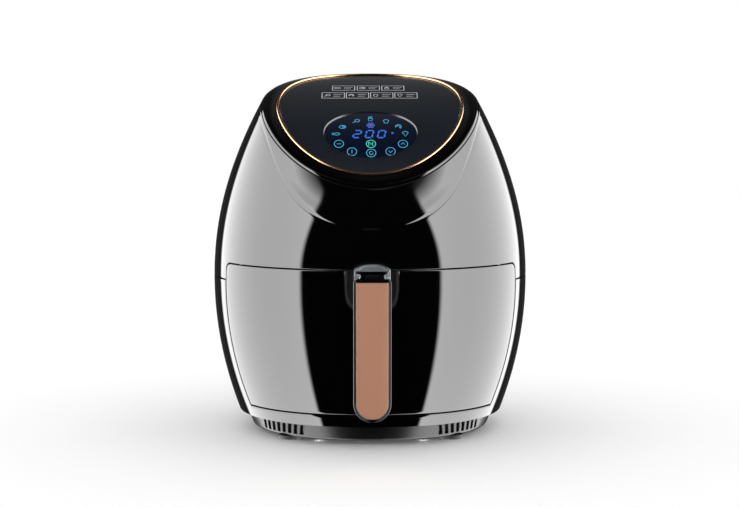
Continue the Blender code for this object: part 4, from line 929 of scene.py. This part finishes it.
BOSS_PROFILE = [(0.0013, 0.0), (0.0021, 0.0004), (0.0021, 0.0034), (0.0013, 0.0038)]
BOSS_IN = 0.0036
BOSS_BACK = 0.0008
BOSS_UP = 0.0026

half, roof = GUARD_HIGH[0], GUARD_HIGH[2] - THUMB_RISE
thumb_angle = np.linspace(0, np.pi, 25)
corner = np.linspace(0, np.pi / 2, 6)
wall_x, wall_top, foot_z = half - GUARD_WALL, roof - GUARD_WALL, GUARD_LOW[2]
corner_out, corner_up = GUARD_CORNER * np.cos(corner), GUARD_CORNER * np.sin(corner)
x = np.concatenate([
    [half], half - GUARD_CORNER + corner_out, (half - THUMB_INSET) * np.cos(thumb_angle),
    GUARD_CORNER - half - corner_up, [-half, -wall_x, -wall_x, wall_x, wall_x]])
z = np.concatenate([
    [foot_z], roof - GUARD_CORNER + corner_up, roof + THUMB_RISE * np.sin(thumb_angle),
    roof - GUARD_CORNER + corner_out, [foot_z, foot_z, wall_top, wall_top, foot_z]])
section = np.stack([x, z], axis=1)
middle = np.array([0, (GUARD_LOW[2] + GUARD_HIGH[2]) / 2])
places = [(GUARD_LOW[1], GUARD_END_SIZE), (GUARD_LOW[1] + GUARD_END, 1.0),
          (GUARD_HIGH[1] - GUARD_END, 1.0), (GUARD_HIGH[1], GUARD_END_SIZE)]
rings = np.array([np.insert(middle + (section - middle) * size, 1, y, axis=1) for y, size in places])
columns = rings.shape[1]
caps = [np.arange(columns)[None, ::-1], np.arange(3 * columns, 4 * columns)[None, :]]
new_piece("clear_guard", rings, [grid_faces(4, columns, True, False)] + caps, "guard", "clear_plastic",
          clear_plastic, ("button_guard",), 30)

boss = turned_piece(BOSS_PROFILE, (0.0, 0.0))[:, ::2]
for side, tag in ((-1, "left"), (1, "right")):
    place = [side * (GUARD_HIGH[0] - BOSS_IN), GUARD_LOW[1] + BOSS_BACK, GUARD_LOW[2] + BOSS_UP]
    new_piece(f"guard_boss_{tag}", *capped(boss[..., [0, 2, 1]] + place),
              "guard", "clear_plastic", clear_plastic)

# ------------------------------ release button and neck
# The button under the guard is a satin moulding on a coiled steel spring. It tips the
# latch lever, which turns on a steel pin in the glossy neck of the handle.
SPRING_LOW, SPRING_HIGH = np.array(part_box("button_spring"))
SPRING_TURNS = 3
SPRING_WIRE = 0.0004
machined = metal("machined steel", (0.48, 0.48, 0.49), 0.28, (4000, 4000, 200), 0.00001, spread=0.15)

along = np.linspace(0, 1, 90)[:, None]
around = np.linspace(0, 2 * np.pi, 8, endpoint=False)[None, :]
spring_radius = (SPRING_HIGH[0] - SPRING_LOW[0]) / 2 - SPRING_WIRE
reach = spring_radius + SPRING_WIRE * np.cos(around)
angle = 2 * np.pi * SPRING_TURNS * along
rise = (SPRING_HIGH[2] - SPRING_LOW[2] - 2 * SPRING_WIRE) * along + SPRING_WIRE * (1 + np.sin(around))
coil = np.stack([reach * np.cos(angle), reach * np.sin(angle), rise], axis=-1)
foot = np.append((SPRING_LOW[:2] + SPRING_HIGH[:2]) / 2, SPRING_LOW[2])
spring = new_piece("return_spring", *capped(coil + foot), "drawer", "machined_steel", machined,
                   ("button_spring",))
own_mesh(spring)

# ------------------------------ inside and under
# What the housing hides or the open drawer shows: zinc-coated sheet, the sheathed
# heater in its bright wire guard, the fans, the motor, the board and the fasteners.
galvanised = metal("zinc-coated sheet", (0.52, 0.53, 0.54), 0.34, (60, 60, 60), 0.00001,
                   spread=0.25, dust_amount=0.15)
bright_wire = metal("bright wire", (0.66, 0.66, 0.67), 0.16, (500, 500, 500), 0.000005)
heater_sheath = metal("oxidised sheath", (0.11, 0.095, 0.085), 0.48, (300, 300, 300), 0.00003,
                      spread=0.2)
natural_plastic = plastic("natural nylon", (0.62, 0.60, 0.54), 0.48, 1200.0, 0.00003, 0.10)

circuit_board = plastic("circuit board", (0.012, 0.10, 0.045), 0.38, 1800.0, 0.00002, 0.08)
tree = circuit_board.node_tree
place = add(tree, "TexCoord").outputs["Object"]
traces = add(tree, "TexBrick", inputs={
    "Vector": place, "Scale": 160.0, "Mortar Size": 0.06, "Color1": (0.012, 0.10, 0.045, 1),
    "Color2": (0.016, 0.13, 0.06, 1), "Mortar": (0.35, 0.27, 0.10, 1)})
tree.links.new(traces.outputs["Color"], tree.nodes["Principled BSDF"].inputs["Base Color"])

FINISHES = [
    (pocket_black, ("handle_pocket",)),
    (gloss_black, ("handle_neck",)),
    (satin_black, ("rear_air_outlet", "cord_gland", "drawer_switch", "release_button",
                   "release_latch")),
    (galvanised, ("cavity_liner", "guide_rail_left", "guide_rail_right", "heat_chamber",
                  "motor_bracket", "pan_bracket", "basket_bracket", "hot_air_fan")),
    (machined, ("fan_motor", "motor_shaft", "fan_nut", "temperature_probe", "thermal_fuse",
                "latch_pin", "base_screw_front_left", "base_screw_front_right",
                "base_screw_rear_left", "base_screw_rear_right")),
    (bright_wire, ("heater_guard",)),
    (heater_sheath, ("heater_coil",)),
    (natural_plastic, ("cooling_fan", "switch_plunger", "touch_pad_left", "touch_pad_centre",
                       "touch_pad_right")),
    (circuit_board, ("power_board", "display_board")),
]
for finish, nodes in FINISHES:
    for node in nodes:
        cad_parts[node].data.materials.clear()
        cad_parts[node].data.materials.append(finish)

# ------------------------------ studio
# A pale floor and a white surround, with a tall soft light on each side of the camera
# and darkness behind it. Gloss picks up the lights; everything else has even light.
SOFTBOX_START = 47
SOFTBOX_END = 140
SOFTBOX_NEAR = 10.0
SOFTBOX_FAR = 5.2
FADE = 3
BACK_START = 170
BACK_FULL = 176
BACK_GLOW = 0.16
DARK_GLOW = 0.05
SKY_GLOW = 0.04
SOFTBOX_TOP = 0.88
SKY_DARK = 0.97
ROOM_LIGHT = 1.06
FLOOR_HALF = 4

world = bpy.data.worlds.new("studio")
bpy.context.scene.world = world
world.use_nodes = True
tree = world.node_tree
tree.nodes.clear()
heading = add(tree, "SeparateXYZ", inputs={0: add(tree, "TexCoord").outputs["Generated"]})
sideways = math_node(tree, "ABSOLUTE", heading.outputs["X"])
ahead = math_node(tree, "MULTIPLY", heading.outputs["Y"], -1.0)
angle = math_node(tree, "ARCTAN2", sideways, ahead)
stripes = add(tree, "ValToRGB", inputs={0: math_node(tree, "DIVIDE", angle, math.pi)})
ramp = stripes.color_ramp
stops = [(SOFTBOX_START - FADE, 0.0), (SOFTBOX_START, SOFTBOX_NEAR), (SOFTBOX_END, SOFTBOX_FAR),
         (SOFTBOX_END + FADE, DARK_GLOW), (BACK_START, DARK_GLOW), (BACK_FULL, BACK_GLOW)]
while len(ramp.elements) < len(stops):
    ramp.elements.new(0.5)
for stop, (degrees, glow) in zip(ramp.elements, stops):
    stop.position = degrees / 180
    stop.color = (glow, glow, glow, 1)
low_sky = add(tree, "MapRange", inputs={
    0: heading.outputs["Z"], 1: SOFTBOX_TOP, 2: SKY_DARK, 3: 1.0, 4: SKY_GLOW})
rays = add(tree, "LightPath")
striped = add(tree, "Background", inputs={0: stripes.outputs[0], 1: low_sky.outputs[0]})
even = add(tree, "Background", inputs={0: (ROOM_LIGHT, ROOM_LIGHT, ROOM_LIGHT, 1)})
white = add(tree, "Background", inputs={0: (1, 1, 1, 1)})
soft = add(tree, "MixShader", inputs={
    0: rays.outputs["Is Glossy Ray"], 1: even.outputs[0], 2: striped.outputs[0]})
seen = add(tree, "MixShader", inputs={
    0: rays.outputs["Is Camera Ray"], 1: soft.outputs[0], 2: white.outputs[0]})
output = add(tree, "OutputWorld")
tree.links.new(seen.outputs[0], output.inputs[0])

floor_finish = plastic("floor", (0.92, 0.92, 0.92), 0.7, 300.0, 0.00002, 0.0)
mesh = bpy.data.meshes.new("floor")
floor_corners = [(x * FLOOR_HALF, y * FLOOR_HALF, 0) for x, y in ((-1, -1), (1, -1), (1, 1), (-1, 1))]
mesh.from_pydata(floor_corners, [], [(0, 1, 2, 3)])
mesh.materials.append(floor_finish)
floor = bpy.data.objects.new("floor", mesh)
bpy.context.scene.collection.objects.link(floor)
floor.visible_glossy = False

DISTANCE = 1.715
EYE_HEIGHT = 0.322
AIM_HEIGHT = 0.172
LENS_LENGTH = 83.4
side_step = math.radians(-0.6)
camera = bpy.data.objects.new("camera", bpy.data.cameras.new("camera"))
bpy.context.scene.collection.objects.link(camera)
camera.data.lens = LENS_LENGTH
camera.location = (DISTANCE * math.sin(side_step), AXIS_Y - DISTANCE * math.cos(side_step), EYE_HEIGHT)
down = math.atan2(EYE_HEIGHT - AIM_HEIGHT, DISTANCE)
camera.rotation_euler = (math.pi / 2 - down, 0, side_step)
bpy.context.scene.camera = camera
bpy.context.scene.view_settings.view_transform = "Standard"
